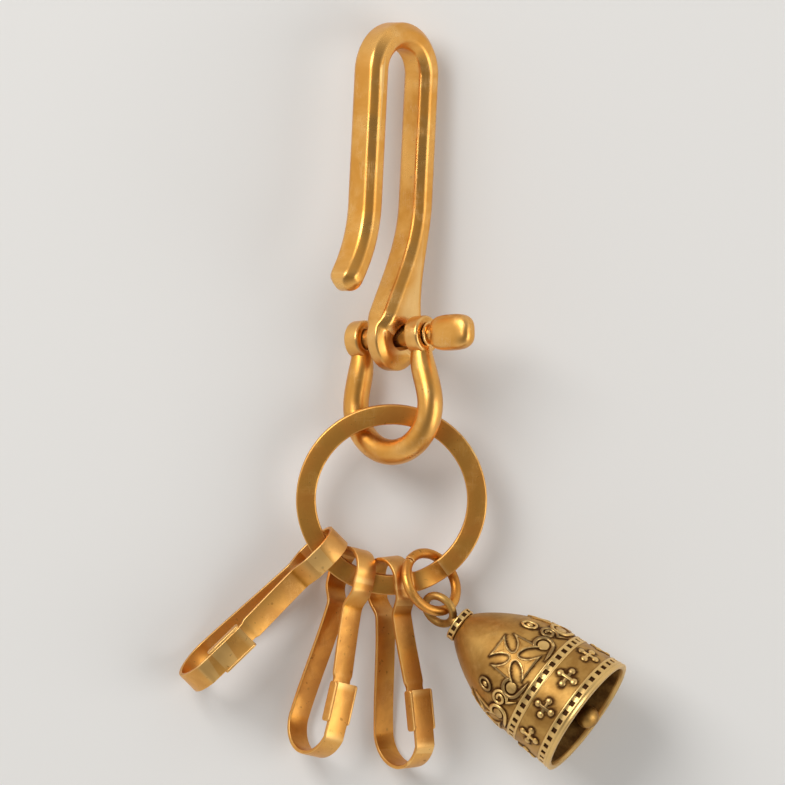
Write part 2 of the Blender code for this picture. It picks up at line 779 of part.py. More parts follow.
def link_point(jump):
    """Point of the jump ring's wire that carries the crown eye, and the wire's run there."""
    axis = jump.to_3x3() @ Vector((0, 0, 1))
    flat = direction(BELL_LINK_DEG)
    out = Vector((flat.x, flat.y, -(axis.x * flat.x + axis.y * flat.y) / axis.z)).normalized()
    return jump.translation / MM + out * jump_wire_radius(), axis.cross(out)


def bell_frame(jump):
    """Frame at the crown eye: z points away from the mouth, x is level."""
    at, _ = link_point(jump)
    axis = direction(BELL_AXIS_DEG, BELL_TILT_DEG)
    level = direction(BELL_AXIS_DEG - 90)
    return frame(at + Vector(BELL_REST), level, (-axis).cross(level))


def main():
    clear_scene()
    collection(COLLECTION)
    polished = brass("polished_brass", (0.80, 0.58, 0.28), 0.22)
    golden = brass("golden_strip", (0.78, 0.50, 0.17), 0.30)
    antique = brass("antique_brass", (0.48, 0.33, 0.14), 0.42)

    ring = frame(RING_CENTRE, Vector((1, 0, 0)), direction(90, RING_TILT_DEG))
    root = empty("ring_axis", ring)
    split_ring(ring, root, golden)

    wire_at = point_mm(ring, 0, ring_wire_radius(), 0)
    shackle = rolled_frame((0, 0, 0), SHACKLE_ROLL_DEG, SHACKLE_YAW_DEG, SHACKLE_PITCH_DEG)
    reach = BOW_LENGTH - BAR_D / 2 - SHACKLE_SLACK - RING_STRIP_W / 2
    turn = shackle.to_3x3()
    origin = wire_at + turn @ Vector((SHACKLE_SIDE, reach, 0)) + Vector((0, 0, SHACKLE_LIFT))
    shackle.translation = origin * MM
    carrier = empty("shackle_swing", tangent_frame(ring, 90), root)
    shackle_bow(shackle, carrier, polished)
    shackle_pin(shackle, empty("pin_axis", shackle, carrier), polished)
    hook = rolled_frame(
        point_mm(shackle, HOOK_SIDE_SHIFT, 0, 0) + Vector((0, 0, HOOK_LIFT)),
        HOOK_ROLL_DEG, HOOK_YAW_DEG, HOOK_PITCH_DEG,
    )
    belt_hook(hook, empty("hook_swing", shackle, carrier), polished)

    for name, (place, heading, roll, pitch, slip, lift) in CLIPS.items():
        clip = clip_frame(ring, place, heading, roll, pitch, slip, lift)
        swing = empty(name + "_swing", tangent_frame(ring, place), root)
        clip_body(name, clip, swing, golden)
        hinge = clip.copy()
        hinge.translation = point_mm(clip, CLIP_ARCH_R, clip_top() - clip_depths()[1], 0) * MM
        clip_gate(name + "_gate", clip, empty(name + "_flex", hinge, swing), golden)

    jump = jump_frame(ring)
    jump_swing = empty("jump_ring_swing", tangent_frame(ring, JUMP_AT_DEG), root)
    jump_ring(jump, jump_swing, golden)
    bell = bell_frame(jump)
    at, run = link_point(jump)
    bell_swing = empty("bell_swing", frame(at, run, Vector((0, 0, 1))), jump_swing)
    bell_shell(bell, bell_swing, antique)
    crown_eye(bell, bell_swing, antique)
    hang = bell @ Matrix.Translation((0, 0, clapper_pivot() * MM))
    hang = hang @ Matrix.Rotation(math.radians(-CLAPPER_REST_DEG), 4, "X")
    clapper(hang, empty("clapper_swing", hang, bell_swing), antique)


if __name__ == "__main__":
    main()
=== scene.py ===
import math

import bmesh
import bpy
from mathutils import Matrix, Vector, kdtree


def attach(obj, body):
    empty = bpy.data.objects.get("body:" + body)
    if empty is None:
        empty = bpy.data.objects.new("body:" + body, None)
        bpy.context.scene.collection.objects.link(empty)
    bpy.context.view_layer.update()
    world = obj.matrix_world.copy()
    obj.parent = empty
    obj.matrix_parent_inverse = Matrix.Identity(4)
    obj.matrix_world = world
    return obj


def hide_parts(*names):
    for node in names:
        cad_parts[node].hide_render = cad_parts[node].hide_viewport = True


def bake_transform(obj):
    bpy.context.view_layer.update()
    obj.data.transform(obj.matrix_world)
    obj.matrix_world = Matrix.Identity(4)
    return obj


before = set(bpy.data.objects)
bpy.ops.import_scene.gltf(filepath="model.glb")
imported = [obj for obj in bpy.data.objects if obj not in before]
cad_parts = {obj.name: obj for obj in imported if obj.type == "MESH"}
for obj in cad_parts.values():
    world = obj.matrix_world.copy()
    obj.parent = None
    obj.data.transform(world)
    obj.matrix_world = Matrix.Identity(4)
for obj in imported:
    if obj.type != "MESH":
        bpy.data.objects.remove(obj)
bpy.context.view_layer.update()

# Sizes in millimetres, as the solids have them, save a thicker ring strip and finer edges; the rest is in metres.
MM = 0.001
ROUND_SIDES = 64

RING_OD = 35.0
RING_STRIP_W = 3.65
RING_STRIP_T = 0.96
RING_COIL_GAP = 0.16
RING_CORNER_R = 0.3
RING_END_R = 0.12
RING_TOP_END_DEG = -53.5
RING_STEP_DEG = 19.0
RING_CENTRE = (-2.02, -18.99, 7.74)
RING_TILT_DEG = 4.0

HOOK_BAR_W = 6.5
HOOK_BAR_T = 4.8
HOOK_CHAMFER = 1.4
HOOK_EDGE_R = 0.42
HOOK_BEND_R = 7.0
HOOK_BEND_AT = 48.17
HOOK_SHANK_OFF = 4.3
HOOK_SHANK_CURVE_L = 25.0
HOOK_LIP_FROM = 24.0
HOOK_LIP_R = 26.0
HOOK_LIP_DEG = 33.0
LIP_ROUND_L = 3.2
LIP_NARROWING = 0.42
HOOK_EYE_R = 6.2
HOOK_EYE_FLARE = 22.0
HOOK_EYE_JOIN = 0.5
HOOK_EYE_SLOPE = 0.35
HOOK_PIN_PLAY = 0.55
HOOK_ROLL_DEG = 41.0
HOOK_YAW_DEG = -0.4
HOOK_PITCH_DEG = -3.6
HOOK_SIDE_SHIFT = 0.5
HOOK_LIFT = 0.2

BAR_D = 4.7
BOW_HALF_W = 8.65
BOW_LENGTH = 21.1
EAR_T = 3.2
EAR_D = 7.0
EAR_EDGE_R = 0.55
EAR_PLAY = 4.2
EAR_GAP = HOOK_BAR_W + EAR_PLAY
EAR_NECK_SCALE = 0.74
PIN_D = 3.9
PIN_FIT = 0.3
PIN_HEAD_L = 8.8
PIN_HEAD_W = 6.6
PIN_HEAD_T = 4.2
PIN_NECK_L = 1.5
PIN_NECK_D = 4.6
PIN_HEAD_SINK = 0.4
PIN_HEAD_POWER = 3
PIN_TIP_CHAMFER = 0.5
PIN_NECK_EDGE = 0.15
PIN_GROOVE = 0.3
SHACKLE_ROLL_DEG = 38.0
SHACKLE_YAW_DEG = 4.5
SHACKLE_PITCH_DEG = -5.0
SHACKLE_SLACK = 2.8
SHACKLE_LIFT = 0.4
SHACKLE_SIDE = 0.4

CLIP_STRIP_W = 4.3
CLIP_STRIP_T = 0.7
CLIP_CORNER_R = 0.16
CLIP_LENGTH = 39.0
CLIP_ARCH_R = 4.0
CLIP_ARCH_STRAIGHT = 3.0
CLIP_NECK_AT = 11.0
CLIP_NECK_HALF = 2.35
CLIP_TOE_R = 6.0
CLIP_CATCH_H = 14.3
CLIP_CATCH_LAP = 4.4
CLIP_CATCH_GAP = 0.35
CLIP_CHEEK_T = 0.45
CLIP_CHEEK_D = 1.9
CLIP_CHEEK_L = 7.5
CHEEK_CORNER_R = 0.55
CHEEK_EDGE_R = 0.14
CLIP_TONGUE_PLAY = 0.3
CLIP_LEG_TAPER = 0.6
CLIP_SLACK = 2.5
CLIPS = {
    1: (217.0, 224.1, 76.6, 2.0, 0.8, 0.6),
    2: (242.1, 257.2, 52.0, -1.6, 0.0, -0.2),
    3: (269.2, 275.4, 50.3, 0.5, -0.2, 0.0),
}

JUMP_OD = 13.2
JUMP_WIRE_D = 1.85
JUMP_AT_DEG = -64.2
JUMP_OUT = 1.04
JUMP_RISE = 1.46
JUMP_LEAN = (0.597, 0.372, 0.711)
JUMP_WIRE_DEGS = (201.2, 558.8)
JUMP_END_R = 0.1

BELL_AXIS_DEG = -35.9
BELL_TILT_DEG = 11.5
BELL_WALL = 1.1
BELL_H = 28.6
BELL_SHOULDER = 19.0
BELL_BELLY_D = 22.0
BELL_MOUTH_D = 23.7
BELL_NECK_D = 6.0
BELL_CROWN_T = 1.5
BELL_DOME_POWER = 0.85
BELL_REST = (-0.7, 0.1, -0.7)
COLLAR_D = 6.5
COLLAR_L = 1.5
CROWN_HOLE_FIT = 0.3
CROWN_OD = 7.4
CROWN_WIRE_D = 1.5
CROWN_ROLL_DEG = -45.0
CROWN_STEM_D = 2.2
BELL_LINK_DEG = -67.0
STAPLE_OD = 4.3
STAPLE_WIRE_D = 1.1
CLAPPER_L = 23.0
CLAPPER_WIRE_D = 1.1
CLAPPER_LOOP_GAP = 0.42
CLAPPER_BALL_D = 4.2
CLAPPER_REST_DEG = 21.0


# Places

UP = Vector((0, 0, 1))


def direction(deg, up_deg=0.0):
    """Unit vector at a turn round z, raised by an angle."""
    turn, rise = math.radians(deg), math.radians(up_deg)
    return Vector((math.cos(turn) * math.cos(rise), math.sin(turn) * math.cos(rise), math.sin(rise)))


def axes(origin, x_axis, y_axis):
    """Frame whose x and y are given; origin in millimetres."""
    x_axis = x_axis.normalized()
    z_axis = x_axis.cross(y_axis).normalized()
    made = Matrix((x_axis, z_axis.cross(x_axis), z_axis)).transposed().to_4x4()
    made.translation = Vector(origin) * MM
    return made


def at_mm(matrix, x, y, z):
    return (matrix @ (Vector((x, y, z)) * MM)) / MM


def rolled_axes(origin, roll_deg, yaw_deg, pitch_deg):
    """Frame whose x is the shackle pin's line and whose y runs up the picture."""
    pin = direction(yaw_deg, roll_deg)
    level = Vector((-math.sin(math.radians(yaw_deg)), math.cos(math.radians(yaw_deg)), 0.0))
    across = pin.cross(level)
    pitch = math.radians(pitch_deg)
    return axes(origin, pin, level * math.cos(pitch) + across * math.sin(pitch))


RING = axes(RING_CENTRE, Vector((1, 0, 0)), direction(90, RING_TILT_DEG))
RING_WIRE_R = (RING_OD - RING_STRIP_W) / 2


def shackle_axes():
    made = rolled_axes((0, 0, 0), SHACKLE_ROLL_DEG, SHACKLE_YAW_DEG, SHACKLE_PITCH_DEG)
    reach = BOW_LENGTH - BAR_D / 2 - SHACKLE_SLACK - RING_STRIP_W / 2
    origin = at_mm(RING, 0, RING_WIRE_R, 0) + made.to_3x3() @ Vector((SHACKLE_SIDE, reach, 0))
    made.translation = (origin + Vector((0, 0, SHACKLE_LIFT))) * MM
    return made


def clip_axes(place_deg, heading_deg, roll_deg, pitch_deg, slip, lift):
    """Frame of a clip on the ring: x to its gate, y back along it."""
    at = direction(place_deg) * RING_WIRE_R
    along = direction(heading_deg, -pitch_deg)
    side = direction(heading_deg + 90)
    roll = math.radians(roll_deg)
    gate_side = side * math.cos(roll) + side.cross(along) * -math.sin(roll)
    return axes(at_mm(RING, at.x, at.y, 0) + along * slip + Vector((0, 0, lift)), gate_side, -along)


def jump_axes():
    at = direction(JUMP_AT_DEG) * (RING_WIRE_R + JUMP_OUT)
    axis = Vector(JUMP_LEAN).normalized()
    level = axis.cross(UP)
    return axes(at_mm(RING, at.x, at.y, JUMP_RISE), level, axis.cross(level))


def bell_axes(jump):
    """Frame of the bell: z up its axis, origin in the middle of its eye."""
    axis = jump.to_3x3() @ UP
    flat = direction(BELL_LINK_DEG)
    out = Vector((flat.x, flat.y, -(axis.x * flat.x + axis.y * flat.y) / axis.z)).normalized()
    link = jump.translation / MM + out * (JUMP_OD - JUMP_WIRE_D) / 2
    down = direction(BELL_AXIS_DEG, BELL_TILT_DEG)
    level = direction(BELL_AXIS_DEG - 90)
    return axes(link + Vector(BELL_REST), level, (-down).cross(level))


SHACKLE = shackle_axes()
HOOK = rolled_axes(
    at_mm(SHACKLE, HOOK_SIDE_SHIFT, 0, 0) + Vector((0, 0, HOOK_LIFT)), HOOK_ROLL_DEG, HOOK_YAW_DEG, HOOK_PITCH_DEG
)
JUMP = jump_axes()
BELL = bell_axes(JUMP)


# Mesh tools


def smooth_step(t):
    t = min(max(t, 0.0), 1.0)
    return t * t * (3 - 2 * t)


def arc(centre, radius, start_deg, end_deg, count):
    turns = [math.radians(start_deg + (end_deg - start_deg) * k / (count - 1)) for k in range(count)]
    return [(centre[0] + radius * math.cos(t), centre[1] + radius * math.sin(t)) for t in turns]


def spaced(start, end, count):
    return [start + (end - start) * k / (count - 1) for k in range(count)]


def fresh(result, kind):
    return [item for item in result if isinstance(item, kind)]


def sweep(bm, section, places, closed=False):
    """Carries a closed section along places, each a matrix, by extruding its edges; caps an open path."""
    verts = [bm.verts.new(places[0] @ Vector((x * MM, y * MM, 0))) for x, y in section]
    first = [bm.edges.new(pair) for pair in zip(verts, verts[1:] + verts[:1])]
    edges = first
    for before, after in zip(places, places[1:]):
        grown = bmesh.ops.extrude_edge_only(bm, edges=edges)["geom"]
        bmesh.ops.transform(bm, matrix=after @ before.inverted(), verts=fresh(grown, bmesh.types.BMVert))
        edges = fresh(grown, bmesh.types.BMEdge)
    if closed:
        bmesh.ops.bridge_loops(bm, edges=first + edges)
    else:
        bmesh.ops.contextual_create(bm, geom=first)
        bmesh.ops.contextual_create(bm, geom=edges)


def path_places(points, up=(0, 0, 1), scales=None, closed=False):
    """Frames along points in millimetres: x across, y along up, z along the path."""
    up = Vector(up)
    count = len(points)
    made = []
    for index, point in enumerate(points):
        ahead = Vector(points[(index + 1) % count if closed else min(index + 1, count - 1)])
        behind = Vector(points[(index - 1) % count if closed else max(index - 1, 0)])
        run = (ahead - behind).normalized()
        across = up.cross(run).normalized()
        place = Matrix((across, run.cross(across), run)).transposed().to_4x4()
        place.translation = Vector(point) * MM
        if scales:
            place = place @ Matrix.Diagonal((*scales[index], 1, 1))
        made.append(place)
    return made


def circle(radius, sides):
    return arc((0, 0), radius, 0, 360 - 360 / sides, sides)


def rounded_bar(wide, high, corner, steps=5):
    """Section of a flat bar with rounded corners, about its middle."""
    points = []
    for x, y, start in ((1, 1, 0), (-1, 1, 90), (-1, -1, 180), (1, -1, 270)):
        centre = (x * (wide / 2 - corner), y * (high / 2 - corner))
        points += arc(centre, corner, start, start + 90, steps)
    return points


def spun(bm, profile, steps):
    """Adds a chain of (radius, height) turned about z, a full round."""
    verts = [bm.verts.new((r * MM, 0, z * MM)) for r, z in profile]
    edges = [bm.edges.new(pair) for pair in zip(verts, verts[1:])]
    bmesh.ops.spin(
        bm, geom=verts + edges, cent=(0, 0, 0), axis=(0, 0, 1), angle=2 * math.pi, steps=steps, use_merge=True
    )
    bmesh.ops.remove_doubles(bm, verts=bm.verts, dist=0.001 * MM)


def face_out(bm):
    bmesh.ops.recalc_face_normals(bm, faces=bm.faces)


def turned(deg, axis):
    return Matrix.Rotation(math.radians(deg), 4, axis)


def moved(x, y, z):
    return Matrix.Translation((x * MM, y * MM, z * MM))


def soften(bm, offset, segments, angle_deg=60.0, clamp=True):
    """Rounds the edges sharper than an angle; one segment makes a chamfer."""
    bm.normal_update()
    sharp = [e for e in bm.edges if len(e.link_faces) == 2 and e.calc_face_angle(0) > math.radians(angle_deg)]
    bmesh.ops.bevel(
        bm, geom=sharp, offset=offset * MM, offset_type="OFFSET", segments=segments, profile=0.5,
        affect="EDGES", clamp_overlap=clamp, material=-1,
    )


def cylinder(radius, depth, sides):
    bm = bmesh.new()
    bmesh.ops.create_cone(
        bm, cap_ends=True, segments=sides, radius1=radius * MM, radius2=radius * MM, depth=depth * MM
    )
    return bm


def pulled(outline, low, high):
    """Plate between two heights over a flat outline; gives it and its top's face in a list."""
    bm = bmesh.new()
    face = bm.faces.new([bm.verts.new((x * MM, y * MM, low * MM)) for x, y in outline])
    grown = bmesh.ops.extrude_face_region(bm, geom=[face])["geom"]
    bmesh.ops.translate(bm, vec=(0, 0, (high - low) * MM), verts=fresh(grown, bmesh.types.BMVert))
    return bm, fresh(grown, bmesh.types.BMFace)


def merge_in(bm, other, matrix):
    """Adds another bmesh, placed by a matrix, and frees it."""
    mesh = bpy.data.meshes.new("part")
    other.to_mesh(mesh)
    other.free()
    mesh.transform(matrix)
    if matrix.determinant() < 0:
        mesh.flip_normals()
    bm.from_mesh(mesh)
    bpy.data.meshes.remove(mesh)


def new_object(name, data):
    obj = bpy.data.objects.new(name, data)
    bpy.context.scene.collection.objects.link(obj)
    return obj


def combined(bm, other, operation):
    """Exact union or difference of two bmeshes, applied here; both are freed."""
    made = []
    for source in (bm, other):
        face_out(source)
        mesh = bpy.data.meshes.new("shape")
        source.to_mesh(mesh)
        source.free()
        made.append(new_object("shape", mesh))
    change = made[0].modifiers.new("change", "BOOLEAN")
    change.operation = operation
    change.object = made[1]
    change.solver = "EXACT"
    change.use_self = operation == "UNION"
    result = bmesh.new()
    result.from_object(made[0], bpy.context.evaluated_depsgraph_get())
    for obj in made:
        bpy.data.objects.remove(obj, do_unlink=True)
    return result


def finished_mesh(name, bm, place, material, smooth_deg, flat_sides=False):
    """Mesh of a bmesh with its place put in and its sharp edges marked."""
    mesh = bpy.data.meshes.new(name)
    bm.to_mesh(mesh)
    bm.free()
    mesh.transform(place)
    if place.determinant() < 0:
        mesh.flip_normals()
    mesh.shade_smooth()
    mesh.set_sharp_from_angle(angle=math.radians(smooth_deg))
    if flat_sides:
        side = (place.to_3x3() @ UP).normalized()
        for face in mesh.polygons:
            face.use_smooth = abs(face.normal.dot(side)) < 0.9995
    mesh.materials.append(material)
    return mesh


def piece(name, bm, place, body, material, nodes=(), smooth_deg=35.0, outward=True, flat_sides=False):
    """Finished object from a bmesh in a local frame, its place put into its mesh; without a body it rides none."""
    if outward:
        face_out(bm)
    obj = new_object(name, finished_mesh(name, bm, place, material, smooth_deg, flat_sides))
    if body:
        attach(obj, body)
    if nodes:
        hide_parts(*nodes)
    return obj


# Belt hook


def hook_half(y):
    """Half width of the hook's bar, which widens into the eye."""
    start = HOOK_EYE_R * HOOK_EYE_JOIN
    t = (y - start) / (HOOK_EYE_FLARE - start)
    if t >= 1:
        return HOOK_BAR_T / 2
    eye_half = math.sqrt(HOOK_EYE_R**2 - start**2)
    lean = -HOOK_EYE_SLOPE * (HOOK_EYE_FLARE - start)
    own = 2 * t**3 - 3 * t**2 + 1
    return own * eye_half + (t**3 - 2 * t**2 + t) * lean + (1 - own) * HOOK_BAR_T / 2


def hook_outline():
    """Side view of the hook: both edges of the bar, the lip's round end and the eye."""
    lip_leg = 2 * HOOK_BEND_R - HOOK_SHANK_OFF
    centres = arc((lip_leg + HOOK_LIP_R, HOOK_LIP_FROM), HOOK_LIP_R, 180 + HOOK_LIP_DEG, 180, 20)
    centres += [(lip_leg, y) for y in spaced(HOOK_LIP_FROM, HOOK_BEND_AT, 10)[1:-1]]
    centres += arc((lip_leg - HOOK_BEND_R, HOOK_BEND_AT), HOOK_BEND_R, 0, 180, 48)
    centres += [(-HOOK_SHANK_OFF, y) for y in spaced(HOOK_BEND_AT, HOOK_SHANK_CURVE_L, 10)[1:-1]]
    shank_from = len(centres)
    centres += [
        (-HOOK_SHANK_OFF * smooth_step(y / HOOK_SHANK_CURVE_L), y)
        for y in spaced(HOOK_SHANK_CURVE_L, HOOK_EYE_R * HOOK_EYE_JOIN, 34)[:-1]
    ]
    centres = [Vector(c) for c in centres]
    left, right = [], []
    for index, centre in enumerate(centres):
        run = centres[min(index + 1, len(centres) - 1)] - centres[max(index - 1, 0)]
        across = Vector((-run.y, run.x)).normalized()
        half = hook_half(centre.y) if index >= shank_from else HOOK_BAR_T / 2
        left.append(centre + across * half)
        right.append(centre - across * half)
    back = centres[0] - centres[1]
    lean = math.degrees(math.atan2(back.y, back.x))
    lip = [Vector(p) for p in arc(centres[0], HOOK_BAR_T / 2, lean - 90, lean + 90, 20)][-2:0:-1]
    span = math.degrees(math.asin(HOOK_EYE_JOIN))
    eye = [Vector(p) for p in arc((0, 0), HOOK_EYE_R, 180 - span, 360 + span, 60)][:0:-1]
    return left + eye + right[::-1] + lip


def round_lip(bm):
    """Narrows the bar towards the end of its lip, so that the end is round from every side."""
    lean = math.radians(HOOK_LIP_DEG)
    away = Vector((math.sin(lean), -math.cos(lean), 0))
    centre = Vector((2 * HOOK_BEND_R - HOOK_SHANK_OFF + HOOK_LIP_R * (1 - math.cos(lean)), 0, 0))
    centre.y = HOOK_LIP_FROM - HOOK_LIP_R * math.sin(lean)
    for back in spaced(0.4, LIP_ROUND_L, 6):
        bmesh.ops.bisect_plane(
            bm, geom=bm.verts[:] + bm.edges[:] + bm.faces[:],
            plane_co=(centre + away * (HOOK_BAR_T / 2 - back)) * MM, plane_no=away,
        )
    for vert in bm.verts:
        at = vert.co / MM - centre
        back = HOOK_BAR_T / 2 - at.dot(away)
        if back < LIP_ROUND_L and at.y < HOOK_BAR_T:
            vert.co.z *= 1 - LIP_NARROWING * (1 - max(back, 0) / LIP_ROUND_L) ** 2


def make_hook(metal):
    """The side view is pulled to the bar's width, chamfered, then the chamfers' edges are softened."""
    bm, _ = pulled(hook_outline(), -HOOK_BAR_W / 2, HOOK_BAR_W / 2)
    soften(bm, HOOK_CHAMFER, 1, clamp=False)
    bmesh.ops.remove_doubles(bm, verts=bm.verts, dist=0.01 * MM)
    soften(bm, HOOK_EDGE_R, 4, 30)
    turn = Matrix(((0, 0, 1, 0), (0, 1, 0, 0), (1, 0, 0, 0), (0, 0, 0, 1)))
    whole = combined(bm, cylinder(PIN_D / 2 + HOOK_PIN_PLAY, 2 * HOOK_BAR_W, ROUND_SIDES), "DIFFERENCE")
    round_lip(whole)
    return piece(
        "hook_bar", whole, HOOK @ turn, "hook", metal, ["belt_hook"], 28, flat_sides=True
    )


# Shackle and its pin


def make_shackle(metal):
    arm = BOW_LENGTH - BOW_HALF_W
    ear_at = (EAR_GAP + EAR_T) / 2
    right = []
    for drop in spaced(0, arm, 28)[:-1]:
        spread = smooth_step((drop - EAR_T) / (arm - EAR_T))
        right.append((ear_at + (BOW_HALF_W - ear_at) * spread, -drop, 0))
    path = right + [(x, y, 0) for x, y in arc((0, -arm), BOW_HALF_W, 0, -180, 60)]
    path += [(-x, y, z) for x, y, z in reversed(right)]
    scales = []
    for _, y, _ in path:
        wide = EAR_NECK_SCALE + (1 - EAR_NECK_SCALE) * smooth_step(-y / EAR_D)
        scales.append((wide, wide))
    bm = bmesh.new()
    sweep(bm, circle(BAR_D / 2, 40), path_places(path, scales=scales))
    ears, holes = bmesh.new(), bmesh.new()
    for side in (1, -1):
        turn = moved(side * ear_at, 0, 0) @ turned(90, "Y")
        ear = cylinder(EAR_D / 2, EAR_T, 72)
        soften(ear, EAR_EDGE_R, 5)
        merge_in(ears, ear, turn)
        merge_in(holes, cylinder(PIN_D / 2 + PIN_FIT, 2 * EAR_T, ROUND_SIDES), turn)
    bm = combined(combined(bm, ears, "UNION"), holes, "DIFFERENCE")
    return piece("shackle_bar", bm, SHACKLE, "shackle", metal, ["shackle_bow"], 40)


def make_pin(metal):
    """Plain pin with a shouldered neck and a rounded tab head."""
    ear_face = EAR_GAP / 2 + EAR_T
    shoulder = ear_face + PIN_FIT
    head_from = shoulder + PIN_NECK_L
    bm = bmesh.new()
    spun(bm, [
        (0, -ear_face), (PIN_D / 2 - PIN_TIP_CHAMFER, -ear_face), (PIN_D / 2, -ear_face + PIN_TIP_CHAMFER),
        (PIN_D / 2, shoulder), (PIN_NECK_D / 2 - PIN_NECK_EDGE, shoulder),
        (PIN_NECK_D / 2, shoulder + PIN_NECK_EDGE), (PIN_NECK_D / 2, shoulder + 0.5 - PIN_NECK_EDGE),
        (PIN_NECK_D / 2 - PIN_NECK_EDGE, shoulder + 0.5), (PIN_D / 2 - PIN_GROOVE, shoulder + 0.55),
        (PIN_D / 2 - PIN_GROOVE, head_from + 1.2), (0, head_from + 1.2),
    ], ROUND_SIDES)
    core = bmesh.new()
    merge_in(core, bm, turned(90, "Y"))
    head = bmesh.new()
    bmesh.ops.create_uvsphere(head, u_segments=ROUND_SIDES, v_segments=40, radius=1.0)
    inner, outer = shoulder + 0.6, head_from - PIN_HEAD_SINK + PIN_HEAD_L
    for vert in head.verts:
        reach = Vector(vert.co)
        full = sum(abs(c) ** PIN_HEAD_POWER for c in reach) ** (-1 / PIN_HEAD_POWER)
        size = Vector((reach.x * PIN_HEAD_W, reach.y * PIN_HEAD_T, reach.z * (outer - inner))) * full / 2
        vert.co = size * MM
    turn = Matrix(((0, 0, 1, 0), (1, 0, 0, 0), (0, 1, 0, 0), (0, 0, 0, 1)))
    merge_in(core, head, moved((inner + outer) / 2, 0, 0) @ turn)
    return piece("pin_with_head", core, SHACKLE, "pin", metal, ["shackle_pin"], 40)


# Split ring


def make_ring(metal):
    """Flat strip wound twice; between the turns it steps up by its own thickness."""
    climb = RING_STRIP_T + RING_COIL_GAP
    stations = [(t, 0.0) for t in spaced(0, 360 - RING_STEP_DEG, 170)[:-1]]
    stations += [(360 - RING_STEP_DEG + RING_STEP_DEG * k / 16, smooth_step(k / 16)) for k in range(16)]
    stations += [(t, 1.0) for t in spaced(360, 720 - RING_STEP_DEG, 170)]
    places = []
    for along_deg, rise in stations:
        out = direction(RING_TOP_END_DEG - RING_STEP_DEG - along_deg)
        place = Matrix((out, UP, out.cross(UP))).transposed().to_4x4()
        place.translation = (out * RING_WIRE_R + UP * climb * (rise - 0.5)) * MM
        places.append(place)
    bm = bmesh.new()
    sweep(bm, rounded_bar(RING_STRIP_W, RING_STRIP_T, RING_CORNER_R), places)
    soften(bm, RING_END_R, 3)
    return piece("ring_strip", bm, RING, "split_ring", metal, ["split_ring"], 40)


# Key clips


def clip_depths():
    """Depths below the arch's outside: arch centre, flex point, toe centre, catch edge, gate tip."""
    arch = CLIP_STRIP_T / 2 + CLIP_ARCH_R
    toe = CLIP_LENGTH - CLIP_STRIP_T / 2 - CLIP_TOE_R
    edge = CLIP_LENGTH - CLIP_CATCH_H
    return arch, arch + CLIP_ARCH_STRAIGHT, toe, edge, edge + CLIP_CATCH_LAP


def leg_half(depth, end_depth, end_half):
    """Distance of a clip's leg from its middle line: wide arch, neck, then wider again."""
    shoulder = CLIP_STRIP_T / 2 + CLIP_ARCH_R + CLIP_ARCH_STRAIGHT
    if depth <= CLIP_NECK_AT:
        narrowing = smooth_step((depth - shoulder) / (CLIP_NECK_AT - shoulder))
        return CLIP_ARCH_R + (CLIP_NECK_HALF - CLIP_ARCH_R) * narrowing
    share = (depth - CLIP_NECK_AT) / (end_depth - CLIP_NECK_AT)
    opening = CLIP_LEG_TAPER * share + (1 - CLIP_LEG_TAPER) * smooth_step(share)
    return CLIP_NECK_HALF + (end_half - CLIP_NECK_HALF) * opening


CLIP_TOP = CLIP_STRIP_T + CLIP_SLACK + RING_STRIP_W / 2
CATCH_HALF = CLIP_TOE_R - CLIP_STRIP_T / 2
SEAM_AT = CLIP_STRIP_T / 2 + CLIP_ARCH_R + CLIP_ARCH_STRAIGHT / 2


def strip_along(path, widths):
    """Flat strip with rounded edges along (across, depth) points."""
    scales = [(1.0, w / CLIP_STRIP_W) for w in widths]
    bm = bmesh.new()
    points = [(x, CLIP_TOP - d, 0) for x, d in path]
    sweep(bm, rounded_bar(CLIP_STRIP_T, CLIP_STRIP_W, CLIP_CORNER_R, 4), path_places(points, scales=scales))
    return bm


def make_clip_body(number, metal):
    """Arch, back, toe and catch of one strip; the catch has a folded cheek on either side."""
    arch, _, toe, edge, _ = clip_depths()
    path = [(CLIP_ARCH_R, d) for d in spaced(SEAM_AT, arch, 4)[:-1]]
    path += [(x, arch - y) for x, y in arc((0, 0), CLIP_ARCH_R, 0, 180, 48)]
    path += [(-leg_half(d, toe, CLIP_TOE_R), d) for d in spaced(arch, toe, 60)[1:-1]]
    path += [(x, toe - y) for x, y in arc((0, 0), CLIP_TOE_R, 180, 337, 52)]
    foot = path[-1]
    path += [
        (foot[0] + (CATCH_HALF - foot[0]) * smooth_step(t), foot[1] + (toe - CLIP_TOE_R / 2 - foot[1]) * t)
        for t in spaced(0, 1, 8)[1:]
    ]
    path += [(CATCH_HALF, d) for d in spaced(toe - CLIP_TOE_R / 2, edge, 8)[1:]]
    bm = strip_along(path, [CLIP_STRIP_W] * len(path))
    outside = CATCH_HALF + CLIP_STRIP_T / 2
    for side in (1, -1):
        cheek, _ = pulled(rounded_bar(CLIP_CHEEK_D, CLIP_CHEEK_L, CHEEK_CORNER_R, 6), 0, CLIP_CHEEK_T)
        soften(cheek, CHEEK_EDGE_R, 3)
        across = CLIP_STRIP_W / 2 if side == 1 else -CLIP_STRIP_W / 2 - CLIP_CHEEK_T
        face_out(cheek)
        merge_in(bm, cheek, moved(outside - CLIP_CHEEK_D / 2, CLIP_TOP - edge - CLIP_CHEEK_L / 2, across))
    name = f"clip_{number}"
    return piece(
        f"{name}_strip", bm, clip_axes(*CLIPS[number]), name, metal, [f"key_clip_{number}"], 40
    )


